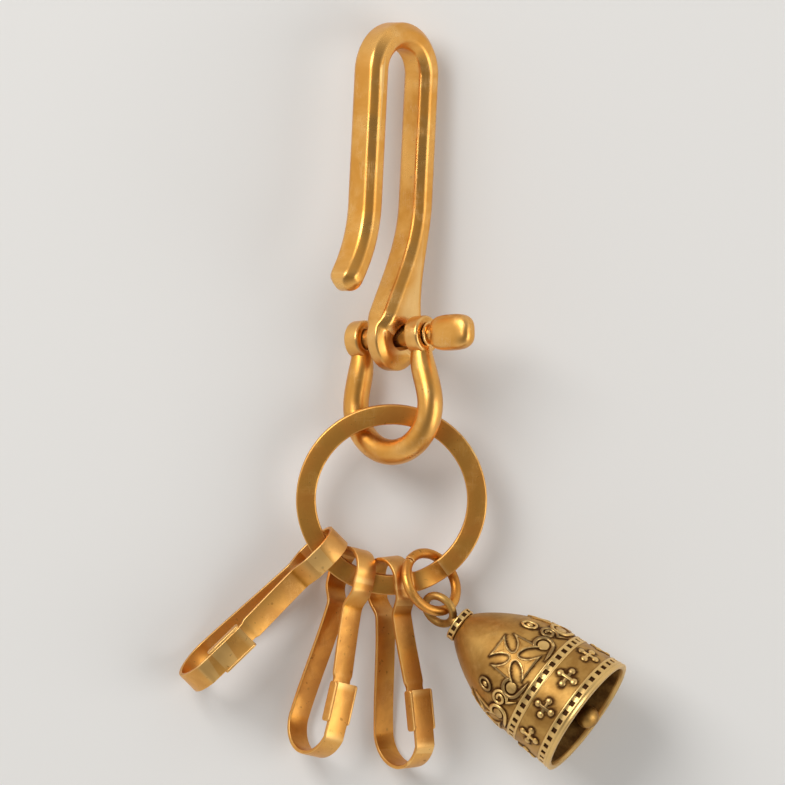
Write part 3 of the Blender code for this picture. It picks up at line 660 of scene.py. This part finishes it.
def make_clip_gate(number, metal):
    """The springing leg, from the seam in the arch's straight down to the gate's tip; it rides no body."""
    _, flex, _, edge, tip = clip_depths()
    tip_half = CATCH_HALF - CLIP_STRIP_T - CLIP_CATCH_GAP
    path = [(CLIP_ARCH_R, d) for d in spaced(SEAM_AT, flex, 8)[:-1]]
    path += [(leg_half(d, tip, tip_half), d) for d in spaced(flex, tip, 70)]
    tongue = CLIP_STRIP_W - 2 * CLIP_TONGUE_PLAY
    widths = []
    for _, depth in path:
        narrow = smooth_step((depth - edge + 1.6) / 1.1)
        round_off = max(depth - tip + 0.7, 0) / 0.7
        widths.append(CLIP_STRIP_W + (tongue - CLIP_STRIP_W) * narrow - 1.1 * round_off**3)
    bm = strip_along(path, widths)
    place = clip_axes(*CLIPS[number])
    name = f"clip_{number}"
    obj = piece(f"{name}_leg", bm, place, None, metal, [f"key_clip_{number}_gate"], 40)
    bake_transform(obj)
    return obj


# Jump ring


def make_jump_ring(metal):
    """Round wire bent to a ring, its two cut ends all but touching."""
    radius = (JUMP_OD - JUMP_WIRE_D) / 2
    points = [(x, y, 0) for x, y in arc((0, 0), radius, *JUMP_WIRE_DEGS, 121)]
    bm = bmesh.new()
    sweep(bm, circle(JUMP_WIRE_D / 2, 28), path_places(points))
    soften(bm, JUMP_END_R, 3)
    return piece("jump_wire", bm, JUMP, "jump_ring", metal, ["jump_ring"], 40)


# Bell

COLLAR_TOP = -(CROWN_OD / 2 + CROWN_HOLE_FIT)
BELL_FOOT = COLLAR_TOP - COLLAR_L
# Ground between the raised work, then distances below the collar's foot and turns round the bell
GROUND = -0.16
BAND_STEPS = 144
UPPER_BAND = 19.3
LOWER_BAND = 26.8
BAND_W = 1.9
BAND_PITS = 36
COLLAR_PITS = 12
CROSSES = 4
CROSS_AT = 12.75
CROSS_REACH = 4.0
SCROLL_AT = 15.75
SCROLL_ROUND = 5.1
CURL_AT = 14.7
BEAD_AT = 10.9
SMALL_CROSSES = 10
LOBE_OUT = 1.5
ORNAMENT_TURN = 7.0
SMALL_CROSS_TURN = 13.0
# Length along the bell, up to its lip, that carries a painted highlight.
LIP_HIGHLIGHT = 0.55


def bell_radius(along):
    """Outer radius of the bell at a distance below the collar's foot."""
    spread = min(max(along, 0.0) / BELL_SHOULDER, 1.0)
    growth = (BELL_BELLY_D - BELL_NECK_D) / 2 * math.sin(math.radians(90) * spread**BELL_DOME_POWER)
    flare = (BELL_MOUTH_D - BELL_BELLY_D) / 2 * max(along - BELL_SHOULDER, 0) / (BELL_H - BELL_SHOULDER)
    return BELL_NECK_D / 2 + growth + flare


def band_rows(middle, width):
    """(distance, height) rows of a raised band: a rail, a flat floor for the pits, a rail."""
    half = width / 2
    rows = [(-half - 0.1, GROUND), (-half, -0.04), (-half + 0.07, 0.0), (-half + 0.3, 0.0), (-half + 0.42, -0.07)]
    return [(middle + at, high) for at, high in rows] + [(middle - at, high) for at, high in reversed(rows)]


def bell_rows():
    """Heights of the outer surface over its plain shape, from the collar's foot to the lip."""
    rows = [(at, GROUND) for at in spaced(0.25, UPPER_BAND - BAND_W / 2 - 0.3, 46)]
    rows += band_rows(UPPER_BAND, BAND_W)
    rows += [(at, GROUND) for at in spaced(UPPER_BAND + BAND_W / 2 + 0.3, LOWER_BAND - BAND_W / 2 - 0.3, 12)]
    rows += band_rows(LOWER_BAND, BAND_W - 0.1)[:-1]
    rows += [(LOWER_BAND + BAND_W / 2 + 0.05, -0.08), (BELL_H - 0.5, -0.05), (BELL_H - 0.22, 0.0)]
    return rows


def pits(bm, middle, half, count, share, depth, least_radius):
    """Presses square pits into the faces of one row, a share of each pitch wide."""
    found = []
    for face in bm.faces:
        at = face.calc_center_median() / MM
        pitch = math.degrees(math.atan2(at.y, at.x)) % 360 / 360 * count
        near = abs(BELL_FOOT - at.z - middle) < half and math.hypot(at.x, at.y) > least_radius
        if near and pitch % 1 < share:
            found.append(face)
    bmesh.ops.inset_region(bm, faces=found, thickness=0.09 * MM, depth=-depth * MM, use_even_offset=True)


def make_bell(metal):
    """Collar, outer surface, lip and inside turned as one profile, with pits pressed into the bands."""
    bm = bmesh.new()
    collar_r = COLLAR_D / 2
    hole = CROWN_STEM_D / 2 + CROWN_HOLE_FIT
    middle = BELL_FOOT + COLLAR_L / 2
    profile = [(hole, BELL_FOOT - BELL_CROWN_T), (hole, COLLAR_TOP - 0.1), (hole + 0.1, COLLAR_TOP)]
    profile += [(collar_r - 0.3, COLLAR_TOP), (collar_r - 0.05, COLLAR_TOP - 0.12), (collar_r, COLLAR_TOP - 0.3)]
    profile += [(collar_r - 0.02, middle + 0.4), (collar_r - 0.02, middle - 0.4), (collar_r, BELL_FOOT + 0.3)]
    profile += [(collar_r - 0.05, BELL_FOOT + 0.12), (collar_r - 0.35, BELL_FOOT - 0.02)]
    profile += [(bell_radius(at) + high, BELL_FOOT - at) for at, high in bell_rows()]
    rim = bell_radius(BELL_H)
    profile += [(rim - 0.06, BELL_FOOT - BELL_H + 0.09), (rim - 0.3, BELL_FOOT - BELL_H)]
    profile += [(rim - BELL_WALL + 0.3, BELL_FOOT - BELL_H), (rim - BELL_WALL + 0.05, BELL_FOOT - BELL_H + 0.15)]
    inner = [at for at in spaced(BELL_H - 0.5, BELL_CROWN_T + 1.2, 60) if bell_radius(at) - BELL_WALL > hole + 0.2]
    profile += [(bell_radius(at) - BELL_WALL, BELL_FOOT - at) for at in inner]
    profile += [(hole + 0.3, BELL_FOOT - BELL_CROWN_T), (hole, BELL_FOOT - BELL_CROWN_T)]
    spun(bm, profile, BAND_STEPS)
    face_out(bm)
    for band in (UPPER_BAND, LOWER_BAND):
        pits(bm, band, 0.4, BAND_PITS, 0.5, 0.3, bell_radius(band) - 0.6)
    pits(bm, -COLLAR_L / 2, 0.3, COLLAR_PITS, 0.55, 0.2, collar_r - 0.3)
    ornaments = bell_ornaments(metal)
    body = piece("bell_body", bm, BELL, "bell", metal, ["bell_shell"], 40, outward=False)
    mark_relief_and_shade(body, ornaments)
    return body


def on_bell(bm, azimuth_deg, along):
    """Bends a flat ornament onto the bell: x round it, y towards the mouth, z out of the surface."""
    flat_r = bell_radius(along)
    for vert in bm.verts:
        x, y, high = vert.co / MM
        at = along + y
        slope = (bell_radius(at + 0.1) - bell_radius(at - 0.1)) / 0.2
        lean = math.atan(slope)
        reach = bell_radius(at) + GROUND + high * math.cos(lean)
        turn = math.radians(azimuth_deg) + x / flat_r
        below = at - high * math.sin(lean)
        vert.co = Vector((reach * math.cos(turn), reach * math.sin(turn), BELL_FOOT - below)) * MM


def raised_plate(outline, high, rim, sink):
    """Flat plate with a rim and a sunk panel, cut by a grid so that it can bend."""
    bm, top = pulled(outline, -0.2, high)
    face_out(bm)
    bmesh.ops.inset_region(bm, faces=top, thickness=0.1 * MM, depth=0.07 * MM, use_even_offset=True)
    bmesh.ops.inset_region(bm, faces=top, thickness=rim * MM, depth=0, use_even_offset=True)
    bmesh.ops.inset_region(bm, faces=top, thickness=0.09 * MM, depth=-sink * MM, use_even_offset=True)
    for axis in ((1, 0, 0), (0, 1, 0)):
        for step in range(-7, 8):
            spot = Vector(axis) * step * 0.6 * MM
            geom = bm.verts[:] + bm.edges[:] + bm.faces[:]
            bmesh.ops.bisect_plane(bm, geom=geom, plane_co=spot, plane_no=axis, dist=0.01 * MM)
    return bm


def cross_outline():
    """Cross with four arms that widen outwards, their sides hollowed."""
    points = []
    for quarter in range(4):
        side = []
        for y in spaced(0.85, CROSS_REACH, 12):
            side.append((0.5 + 2.45 * ((y - 0.85) / (CROSS_REACH - 0.85)) ** 2.2, y))
        arm = side + [(-x, y) for x, y in reversed(side)]
        turn = Matrix.Rotation(math.radians(90 * quarter), 2)
        points += [tuple(turn @ Vector(p)) for p in arm]
    return points


def raised_line(points, radius, closed=False):
    """Half-round raised line along flat points, thinner at its ends."""
    count = len(points)
    scales = []
    for index in range(count):
        end = 1 if closed else smooth_step(0.3 + min(index, count - 1 - index) / 4)
        scales.append((end, end))
    bm = bmesh.new()
    path = [(x, y, 0.1) for x, y in points]
    sweep(bm, circle(radius, 10), path_places(path, scales=scales, closed=closed), closed=closed)
    return bm


def button(radius, high, y_scale=1.0):
    """Low round or oval boss."""
    bm = bmesh.new()
    bmesh.ops.create_uvsphere(bm, u_segments=20, v_segments=12, radius=1.0)
    bmesh.ops.scale(bm, vec=(radius * MM, radius * y_scale * MM, high * MM), verts=bm.verts)
    return bm


def disc(radius, high):
    """Low flat boss."""
    bm = cylinder(radius, 2 * high, 32)
    soften(bm, 0.12, 3)
    return bm


def lobed_cross():
    """Two crossed bars with a ball at each end."""
    bm = bmesh.new()
    for quarter in range(4):
        merge_in(bm, button(0.7, 0.42), turned(90 * quarter, "Z") @ moved(LOBE_OUT, 0, 0))
    for turn in (0, 90):
        bar = bmesh.new()
        bmesh.ops.create_cube(bar, size=1.0)
        bmesh.ops.scale(bar, vec=(2.6 * MM, 0.62 * MM, 0.56 * MM), verts=bar.verts)
        soften(bar, 0.14, 2)
        merge_in(bm, bar, turned(turn, "Z"))
    return bm


def scroll_parts():
    """C-scroll round a disc, with a tail along the band; (shape, distance round, distance along)."""
    around = arc((0, 0), 1.72, 215, 440, 34)
    tail = [(-0.55, 1.88), (-1.2, 1.98), (-1.9, 2.04), (-2.6, 2.08)]
    return [(shape, SCROLL_ROUND, SCROLL_AT) for shape in (raised_line(around + tail, 0.36), disc(1.08, 0.24))]


def curl_parts():
    """Spiral line and, above it, a bead in an oval ring; (shape, distance along)."""
    spiral = []
    for k in range(48):
        turn, reach = math.radians(80 - 600 * k / 47), 1.75 - 1.4 * (k / 47) ** 0.9
        spiral.append((reach * math.cos(turn), reach * math.sin(turn)))
    start = [(1.6, 3.3), (1.05, 2.6), (0.62, 2.1)]
    ring = [(0.95 * x, 1.3 * y) for x, y in arc((0, 0), 1.0, 0, 350, 32)]
    return [
        (raised_line(start + spiral, 0.3), CURL_AT),
        (raised_line(ring, 0.26, closed=True), BEAD_AT),
        (button(0.5, 0.36, 1.3), BEAD_AT),
    ]


def bell_ornaments(metal):
    """All raised work, bent onto the bell and joined by kind."""
    up = BELL.to_3x3().inverted() @ UP
    face_deg = math.degrees(math.atan2(up.y, up.x)) + ORNAMENT_TURN
    kinds = {"crosses": bmesh.new(), "scrolls": bmesh.new(), "small_crosses": bmesh.new()}

    def lay(kind, bm, azimuth, along, mirrored=False):
        if mirrored:
            bmesh.ops.scale(bm, vec=(-1, 1, 1), verts=bm.verts)
        on_bell(bm, azimuth, along)
        face_out(bm)
        merge_in(kinds[kind], bm, Matrix.Identity(4))

    for quarter in range(CROSSES):
        at = face_deg + 360 / CROSSES * quarter
        lay("crosses", raised_plate(cross_outline(), 0.22, 0.22, 0.16), at, CROSS_AT)
        for side in (1, -1):
            for bm, across, along in scroll_parts():
                lay("scrolls", bm, at + side * math.degrees(across / bell_radius(along)), along, side < 0)
        for bm, along in curl_parts():
            lay("scrolls", bm, at + 180 / CROSSES, along)
    for step in range(SMALL_CROSSES):
        at = face_deg + SMALL_CROSS_TURN + 360 / SMALL_CROSSES * step
        lay("small_crosses", lobed_cross(), at, (UPPER_BAND + LOWER_BAND) / 2)
    return [
        piece(f"bell_{kind}", bm, BELL, "bell", metal, (), 50, outward=False)
        for kind, bm in kinds.items()
    ]


def set_relief_and_shade(obj, values):
    obj.data.attributes.new("relief_and_shade", "FLOAT", "POINT").data.foreach_set("value", values)


def mark_relief_and_shade(body, ornaments):
    """Stores how high each point of the bell stands, with painted light and shade mixed in: raised work 1, the lip
    1 as a painted highlight, plain ground between, corners 0, and the inside 0.25 as painted shade.
    """
    inverse = BELL.inverted()
    near = kdtree.KDTree(sum(len(o.data.vertices) for o in ornaments))
    count = 0
    for ornament in ornaments:
        values = []
        for vert in ornament.data.vertices:
            at = inverse @ vert.co / MM
            high = math.hypot(at.x, at.y) - bell_radius(BELL_FOOT - at.z) - GROUND
            values.append(min(max(high / 0.28, 0.0), 1.0))
            near.insert(vert.co, count)
            count += 1
        set_relief_and_shade(ornament, values)
    near.balance()
    values = []
    for vert in body.data.vertices:
        at = inverse @ vert.co / MM
        radius, along = math.hypot(at.x, at.y), BELL_FOOT - at.z
        high = radius - bell_radius(max(along, 0.0))
        if along < 0 and radius > COLLAR_D / 2 - 0.5:
            value = 1.0 if radius > COLLAR_D / 2 - 0.08 else 0.0
        # The lip: a painted highlight.
        elif along > BELL_H - LIP_HIGHLIGHT:
            value = 1.0
        # The inside of the bell: painted shade.
        elif high < -BELL_WALL / 2:
            value = 0.25
        elif high < GROUND - 0.06:
            value = 0.0
        elif high > -0.09:
            value = 0.95
        else:
            away = near.find(vert.co)[2] / MM
            value = 0.62 - 0.5 * math.exp(-max(away - 0.25, 0.0) / 0.35)
        values.append(value)
    set_relief_and_shade(body, values)


# Crown eye and clapper


def even_relief(obj, value):
    """One height all over a piece that has no raised work, so that it takes the same finish."""
    set_relief_and_shade(obj, [value] * len(obj.data.vertices))
    return obj


def make_crown_eye(metal):
    upright = turned(90, "X")
    wire_r = (CROWN_OD - CROWN_WIRE_D) / 2
    staple_wire_r = (STAPLE_OD - STAPLE_WIRE_D) / 2
    staple_at = BELL_FOOT - BELL_CROWN_T - CROWN_HOLE_FIT - STAPLE_OD / 2
    parts = []
    for radius, thick, place in (
        (wire_r, CROWN_WIRE_D / 2, turned(CROWN_ROLL_DEG, "Z") @ upright),
        (staple_wire_r, STAPLE_WIRE_D / 2, moved(0, 0, staple_at) @ upright),
    ):
        ring = bmesh.new()
        points = [(x, y, 0) for x, y in circle(radius, 72)]
        sweep(ring, circle(thick, 24), path_places(points, closed=True), closed=True)
        placed = bmesh.new()
        merge_in(placed, ring, place)
        parts.append(placed)
    stem = bmesh.new()
    top, foot = -wire_r, staple_at + staple_wire_r
    spun(stem, [
        (0, top), (CROWN_STEM_D / 2 - 0.3, top), (CROWN_STEM_D / 2 - 0.1, top - 0.3), (CROWN_STEM_D / 2, top - 0.8),
        (CROWN_STEM_D / 2, foot + 0.4), (CROWN_STEM_D / 2 - 0.3, foot), (0, foot),
    ], 40)
    whole = combined(combined(parts[0], stem, "UNION"), parts[1], "UNION")
    return even_relief(piece("crown_loop", whole, BELL, "bell", metal, ["crown_eye"], 50), 0.5)


def clapper_place():
    pivot = BELL_FOOT - BELL_CROWN_T - CROWN_HOLE_FIT - STAPLE_OD / 2 - (STAPLE_OD - STAPLE_WIRE_D) / 2
    return BELL @ moved(0, 0, pivot) @ turned(-CLAPPER_REST_DEG, "X")


def make_clapper(metal):
    loop_r = (STAPLE_WIRE_D + CLAPPER_WIRE_D) / 2 + CLAPPER_LOOP_GAP
    bm = bmesh.new()
    points = [(0, *p) for p in arc((0, 0), loop_r, -80, 268, 60)]
    points += [(0, 0, z) for z in spaced(-loop_r - 0.1, -CLAPPER_L, 24)]
    sweep(bm, circle(CLAPPER_WIRE_D / 2, 20), path_places(points, up=(1, 0, 0)))
    place = clapper_place()
    wire = piece("clapper_rod", bm, place, "clapper", metal, ["clapper_wire"], 50)
    ball = bmesh.new()
    radius = CLAPPER_BALL_D / 2
    profile = [(0, radius)] + arc((0, 0), radius, 80, -80, 33) + [(0, -radius)]
    spun(ball, [(r, z - CLAPPER_L) for r, z in profile], 48)
    drop = piece("clapper_drop", ball, place, "clapper", metal, ["clapper_ball"], 50)
    return even_relief(wire, 0.45), even_relief(drop, 0.6)


# Finishes


class Patch:
    """Short ways to place and join nodes in a material or a node group."""

    def __init__(self, tree):
        self.tree = tree

    def node(self, kind, **settings):
        made = self.tree.nodes.new(kind)
        for name, value in settings.items():
            setattr(made, name, value)
        return made

    def place(self):
        return self.node("ShaderNodeTexCoord").outputs["Object"]

    def join(self, source, target):
        self.tree.links.new(source, target)

    def feed(self, target, value):
        if isinstance(value, bpy.types.NodeSocket):
            self.join(value, target)
        else:
            target.default_value = value

    def noise(self, vector, scale, detail=4.0, rough=0.5, distort=0.0):
        made = self.node("ShaderNodeTexNoise")
        self.join(vector, made.inputs["Vector"])
        for name, value in (("Scale", scale), ("Detail", detail), ("Roughness", rough), ("Distortion", distort)):
            self.feed(made.inputs[name], value)
        return made.outputs["Fac"]

    def stretched(self, vector, scale, turn=(0, 0, 0)):
        made = self.node("ShaderNodeMapping")
        self.join(vector, made.inputs["Vector"])
        made.inputs["Scale"].default_value = scale
        made.inputs["Rotation"].default_value = [math.radians(t) for t in turn]
        return made.outputs["Vector"]

    def math(self, operation, first, second=0.0, clamp=False):
        made = self.node("ShaderNodeMath", operation=operation, use_clamp=clamp)
        self.feed(made.inputs[0], first)
        self.feed(made.inputs[1], second)
        return made.outputs[0]

    def span(self, value, low, high, to_low=0.0, to_high=1.0):
        made = self.node("ShaderNodeMapRange", interpolation_type="SMOOTHSTEP")
        self.feed(made.inputs["Value"], value)
        for name, number in (("From Min", low), ("From Max", high), ("To Min", to_low), ("To Max", to_high)):
            self.feed(made.inputs[name], number)
        return made.outputs["Result"]

    def mix(self, share, first, second, blend="MIX"):
        made = self.node("ShaderNodeMix", data_type="RGBA", blend_type=blend)
        self.feed(made.inputs[0], share)
        for index, value in ((6, first), (7, second)):
            self.feed(made.inputs[index], value if isinstance(value, bpy.types.NodeSocket) else (*value, 1))
        return made.outputs[2]

    def laid(self, base, *layers):
        """Lays colours over a base, one after another: (mask, share, colour)."""
        for mask, share, colour in layers:
            base = self.mix(self.math("MULTIPLY", mask, share), base, colour)
        return base

    def added(self, base, *layers):
        """Adds masks to a value: (mask, share)."""
        for mask, share in layers:
            base = self.math("ADD", base, self.math("MULTIPLY", mask, share))
        return base


def node_group(name, inputs, outputs):
    """Empty group with float inputs {name: default} and float outputs; gives it, its patch and both ends."""
    group = bpy.data.node_groups.new(name, "ShaderNodeTree")
    for label, value in inputs.items():
        group.interface.new_socket(label, in_out="INPUT", socket_type="NodeSocketFloat").default_value = value
    for label in outputs:
        group.interface.new_socket(label, in_out="OUTPUT", socket_type="NodeSocketFloat")
    patch = Patch(group)
    return group, patch, patch.node("NodeGroupInput").outputs, patch.node("NodeGroupOutput").inputs


# Noise scale and turn of each direction of scratches; they run along the small scale
SCRATCH_WAYS = (((2600, 70, 2600), (0, 0, 24)), ((70, 2600, 1900), (14, 0, -33)), ((1500, 90, 1700), (0, 20, 71)))


def handling_group():
    """Marks of use on brass: cloudy tarnish, hairline scratches in three directions, small dings and fine grain."""
    group, patch, given, out = node_group(
        "brass_handling", {"Cloud Scale": 90.0, "Scratch Density": 0.5}, ["Cloud", "Scratches", "Dings", "Grain"]
    )
    place = patch.place()
    cloud = patch.noise(place, given["Cloud Scale"], 5.0, 0.62, 0.4)
    patch.join(patch.span(cloud, 0.36, 0.64), out["Cloud"])
    least = patch.math("SUBTRACT", 0.045, patch.math("MULTIPLY", given["Scratch Density"], 0.03))
    lines = None
    for scale, turn in SCRATCH_WAYS:
        band = patch.noise(patch.stretched(place, scale, turn), 1.0, 2.0, 0.5)
        edge = patch.math("ABSOLUTE", patch.math("SUBTRACT", band, 0.5))
        line = patch.math("SUBTRACT", 1.0, patch.span(edge, 0.0, least))
        lines = line if lines is None else patch.math("MAXIMUM", lines, line)
    gate = patch.span(patch.noise(place, 260.0, 2.0), 0.5, 0.66)
    patch.join(patch.math("MULTIPLY", lines, gate), out["Scratches"])
    dings = patch.node("ShaderNodeTexVoronoi", feature="F1")
    patch.join(place, dings.inputs["Vector"])
    dings.inputs["Scale"].default_value = 420.0
    spots = patch.math("SUBTRACT", 1.0, patch.span(dings.outputs["Distance"], 0.05, 0.17))
    patch.join(patch.math("MULTIPLY", spots, patch.span(patch.noise(place, 170.0, 1.0), 0.54, 0.6)), out["Dings"])
    patch.join(patch.noise(place, 2400.0, 3.0, 0.6), out["Grain"])
    return group


def edge_group():
    """Painted highlight along convex edges and painted shade in concave corners, from the shape of the surface."""
    group, patch, given, out = node_group("edge_highlight_and_corner_shade", {"Width": 0.5}, ["Edge", "Corner"])
    curve = patch.node("ShaderNodeNewGeometry").outputs["Pointiness"]
    reach = patch.math("MULTIPLY", given["Width"], 0.08)
    patch.join(patch.span(curve, 0.505, patch.math("ADD", reach, 0.505)), out["Edge"])
    patch.join(
        patch.math("SUBTRACT", 1.0, patch.span(curve, patch.math("SUBTRACT", 0.495, reach), 0.495)), out["Corner"]
    )
    return group


HANDLING = handling_group()
EDGES = edge_group()


def metal(name, cloud_scale, scratch_density, edge_width):
    """Metal material with both groups placed; gives the material, its patch, shader and the groups' outputs."""
    made = bpy.data.materials.new(name)
    made.use_nodes = True
    patch = Patch(made.node_tree)
    shader = made.node_tree.nodes["Principled BSDF"]
    shader.inputs["Metallic"].default_value = 1.0
    wear = patch.node("ShaderNodeGroup", node_tree=HANDLING)
    wear.inputs["Cloud Scale"].default_value = cloud_scale
    wear.inputs["Scratch Density"].default_value = scratch_density
    painted_light = patch.node("ShaderNodeGroup", node_tree=EDGES)
    painted_light.inputs["Width"].default_value = edge_width
    return made, patch, shader, wear.outputs, painted_light.outputs


def dress(patch, shader, base, dull, layers):
    """Feeds the shader's colour, roughness and a chain of bumps: (height, strength, distance in millimetres)."""
    patch.join(base, shader.inputs["Base Color"])
    patch.join(dull, shader.inputs["Roughness"])
    normal = None
    for height, strength, distance in layers:
        bump = patch.node("ShaderNodeBump")
        bump.inputs["Strength"].default_value = strength
        bump.inputs["Distance"].default_value = distance * MM
        patch.join(height, bump.inputs["Height"])
        if normal is not None:
            patch.join(normal, bump.inputs["Normal"])
        normal = bump.outputs["Normal"]
    patch.join(normal, shader.inputs["Normal"])


def polished_brass():
    """Cast brass, filed and polished by hand: a slightly uneven surface with soft tarnish."""
    made, patch, shader, wear, painted_light = metal("polished_brass", 110.0, 0.6, 0.5)
    place = patch.place()
    # The corner layer is painted shade in concave corners and the edge layer a painted highlight along convex
    # edges; cloud, scratches and dings are the brass's own wear.
    base = patch.laid(
        patch.mix(wear["Cloud"], (0.72, 0.325, 0.055), (0.84, 0.435, 0.11)),
        (painted_light["Corner"], 0.7, (0.36, 0.17, 0.05)),
        (painted_light["Edge"], 0.6, (0.94, 0.64, 0.27)),
        (wear["Scratches"], 0.35, (0.95, 0.68, 0.33)),
        (wear["Dings"], 0.45, (0.42, 0.22, 0.07)),
    )
    dull = patch.added(0.36, (wear["Cloud"], -0.12), (wear["Scratches"], 0.12), (wear["Grain"], 0.05))
    hand = patch.noise(patch.stretched(place, (1.0, 0.35, 1.0)), 240.0, 2.0, 0.4)
    dress(patch, shader, base, dull, [
        (hand, 0.35, 0.35), (wear["Grain"], 0.12, 0.02),
        (wear["Scratches"], 0.25, 0.02), (wear["Dings"], -0.5, 0.05),
    ])
    return made


def golden_strip():
    """Rolled brass strip: satin, deeper gold, with a painted highlight along its edges, painted shade in its
    corners and dark specks.
    """
    made, patch, shader, wear, painted_light = metal("golden_strip", 140.0, 0.8, 0.6)
    place = patch.place()
    specks = patch.span(patch.noise(place, 900.0, 2.0, 0.6), 0.66, 0.74)
    # The corner layer is painted shade in concave corners and the edge layer a painted highlight along convex
    # edges; specks, scratches and dings are the strip's own marks.
    base = patch.laid(
        patch.mix(wear["Cloud"], (0.55, 0.195, 0.020), (0.74, 0.32, 0.044)),
        (painted_light["Corner"], 0.6, (0.26, 0.11, 0.03)),
        (painted_light["Edge"], 0.75, (0.93, 0.60, 0.22)),
        (specks, 0.5, (0.30, 0.13, 0.03)),
        (wear["Scratches"], 0.3, (0.92, 0.58, 0.20)),
        (wear["Dings"], 0.4, (0.30, 0.14, 0.04)),
    )
    dull = patch.added(0.42, (wear["Cloud"], -0.10), (specks, 0.15), (wear["Grain"], 0.06))
    rolled = patch.noise(place, 500.0, 3.0, 0.5)
    dress(patch, shader, base, dull, [
        (rolled, 0.18, 0.1), (wear["Grain"], 0.15, 0.02),
        (wear["Scratches"], 0.25, 0.02), (wear["Dings"], -0.4, 0.04),
    ])
    return made


def antique_brass():
    """Cast brass with dark patina left in the hollows and rubbed high spots, read from a height attribute that also
    holds a painted highlight on the lip and painted shade inside the bell.
    """
    made, patch, shader, wear, painted_light = metal("antique_brass", 150.0, 0.3, 0.7)
    place = patch.place()
    relief_and_shade = patch.node("ShaderNodeAttribute", attribute_name="relief_and_shade").outputs["Fac"]
    blotch = patch.noise(place, 330.0, 4.0, 0.65)
    height_and_shade = patch.math("ADD", relief_and_shade, patch.math("MULTIPLY", patch.math("SUBTRACT", blotch, 0.5), 0.55))
    plain = patch.mix(wear["Cloud"], (0.40, 0.205, 0.05), (0.58, 0.335, 0.095))
    # Dark colour: patina in the hollows, and painted shade inside the bell; bright colour: rubbed high spots, and a
    # painted highlight on the lip.
    base = patch.mix(patch.span(height_and_shade, 0.08, 0.5), (0.085, 0.032, 0.010), plain)
    base = patch.mix(patch.span(height_and_shade, 0.62, 0.98), base, (0.80, 0.53, 0.20))
    # The corner layer is painted shade in concave corners.
    base = patch.laid(base, (painted_light["Corner"], 0.65, (0.10, 0.045, 0.018)), (wear["Dings"], 0.35, (0.25, 0.12, 0.04)))
    dull = patch.added(patch.span(height_and_shade, 0.05, 0.9, 0.62, 0.34), (wear["Grain"], 0.08))
    cast = patch.noise(place, 700.0, 4.0, 0.6)
    dress(patch, shader, base, dull, [(cast, 0.28, 0.12), (wear["Grain"], 0.2, 0.02), (wear["Dings"], -0.4, 0.05)])
    return made


POLISHED = polished_brass()
GOLDEN = golden_strip()
ANTIQUE = antique_brass()

make_hook(POLISHED)
make_shackle(POLISHED)
make_pin(POLISHED)
make_ring(GOLDEN)
for number in CLIPS:
    make_clip_body(number, GOLDEN)
    make_clip_gate(number, GOLDEN)
make_jump_ring(GOLDEN)
make_bell(ANTIQUE)
make_crown_eye(ANTIQUE)
make_clapper(ANTIQUE)


# Floor, lights and camera

CAMERA_PLACE = (-1.834 * MM, 0.635 * MM, 2.5)
CAMERA_LENS = 623.7
FLOOR_HALF = 3.0

def make_floor():
    bm = bmesh.new()
    bmesh.ops.create_grid(bm, x_segments=1, y_segments=1, size=FLOOR_HALF)
    mesh = bpy.data.meshes.new("floor")
    bm.to_mesh(mesh)
    bm.free()
    floor = new_object("floor", mesh)
    paint = bpy.data.materials.new("floor_paint")
    paint.use_nodes = True
    shader = paint.node_tree.nodes["Principled BSDF"]
    shader.inputs["Base Color"].default_value = (0.78, 0.77, 0.75, 1)
    shader.inputs["Roughness"].default_value = 0.9
    mesh.materials.append(paint)


def make_light(name, place, size, power):
    """Square soft light that looks at the middle of the floor."""
    lamp = bpy.data.lights.new(name, "AREA")
    lamp.shape = "RECTANGLE"
    lamp.size = lamp.size_y = size
    lamp.energy = power
    obj = new_object(name, lamp)
    obj.location = place
    obj.rotation_euler = (-Vector(place)).to_track_quat("-Z", "Y").to_euler()


def make_camera():
    camera = bpy.data.cameras.new("camera")
    camera.sensor_width = 36.0
    camera.lens = CAMERA_LENS
    camera.clip_start, camera.clip_end = 0.1, 20.0
    obj = new_object("camera", camera)
    obj.location = CAMERA_PLACE
    bpy.context.scene.camera = obj


def make_world():
    """Soft studio surroundings: a dark ceiling and brighter walls, so flat metal facing up stays deep gold."""
    world = bpy.data.worlds.new("studio")
    world.use_nodes = True
    patch = Patch(world.node_tree)
    split = patch.node("ShaderNodeSeparateXYZ")
    patch.join(patch.node("ShaderNodeTexCoord").outputs["Generated"], split.inputs[0])
    sky = patch.mix(patch.span(split.outputs["Z"], 0.0, 1.0), (0.92, 0.90, 0.87), (0.21, 0.203, 0.195))
    patch.join(sky, world.node_tree.nodes["Background"].inputs["Color"])
    bpy.context.scene.world = world


make_floor()
make_light("key_light", (-0.55, 0.5, 0.8), 0.6, 6.5)
make_light("fill_light", (0.8, -0.2, 0.6), 0.7, 3.4)
make_camera()
make_world()
bpy.context.scene.view_settings.view_transform = "Standard"
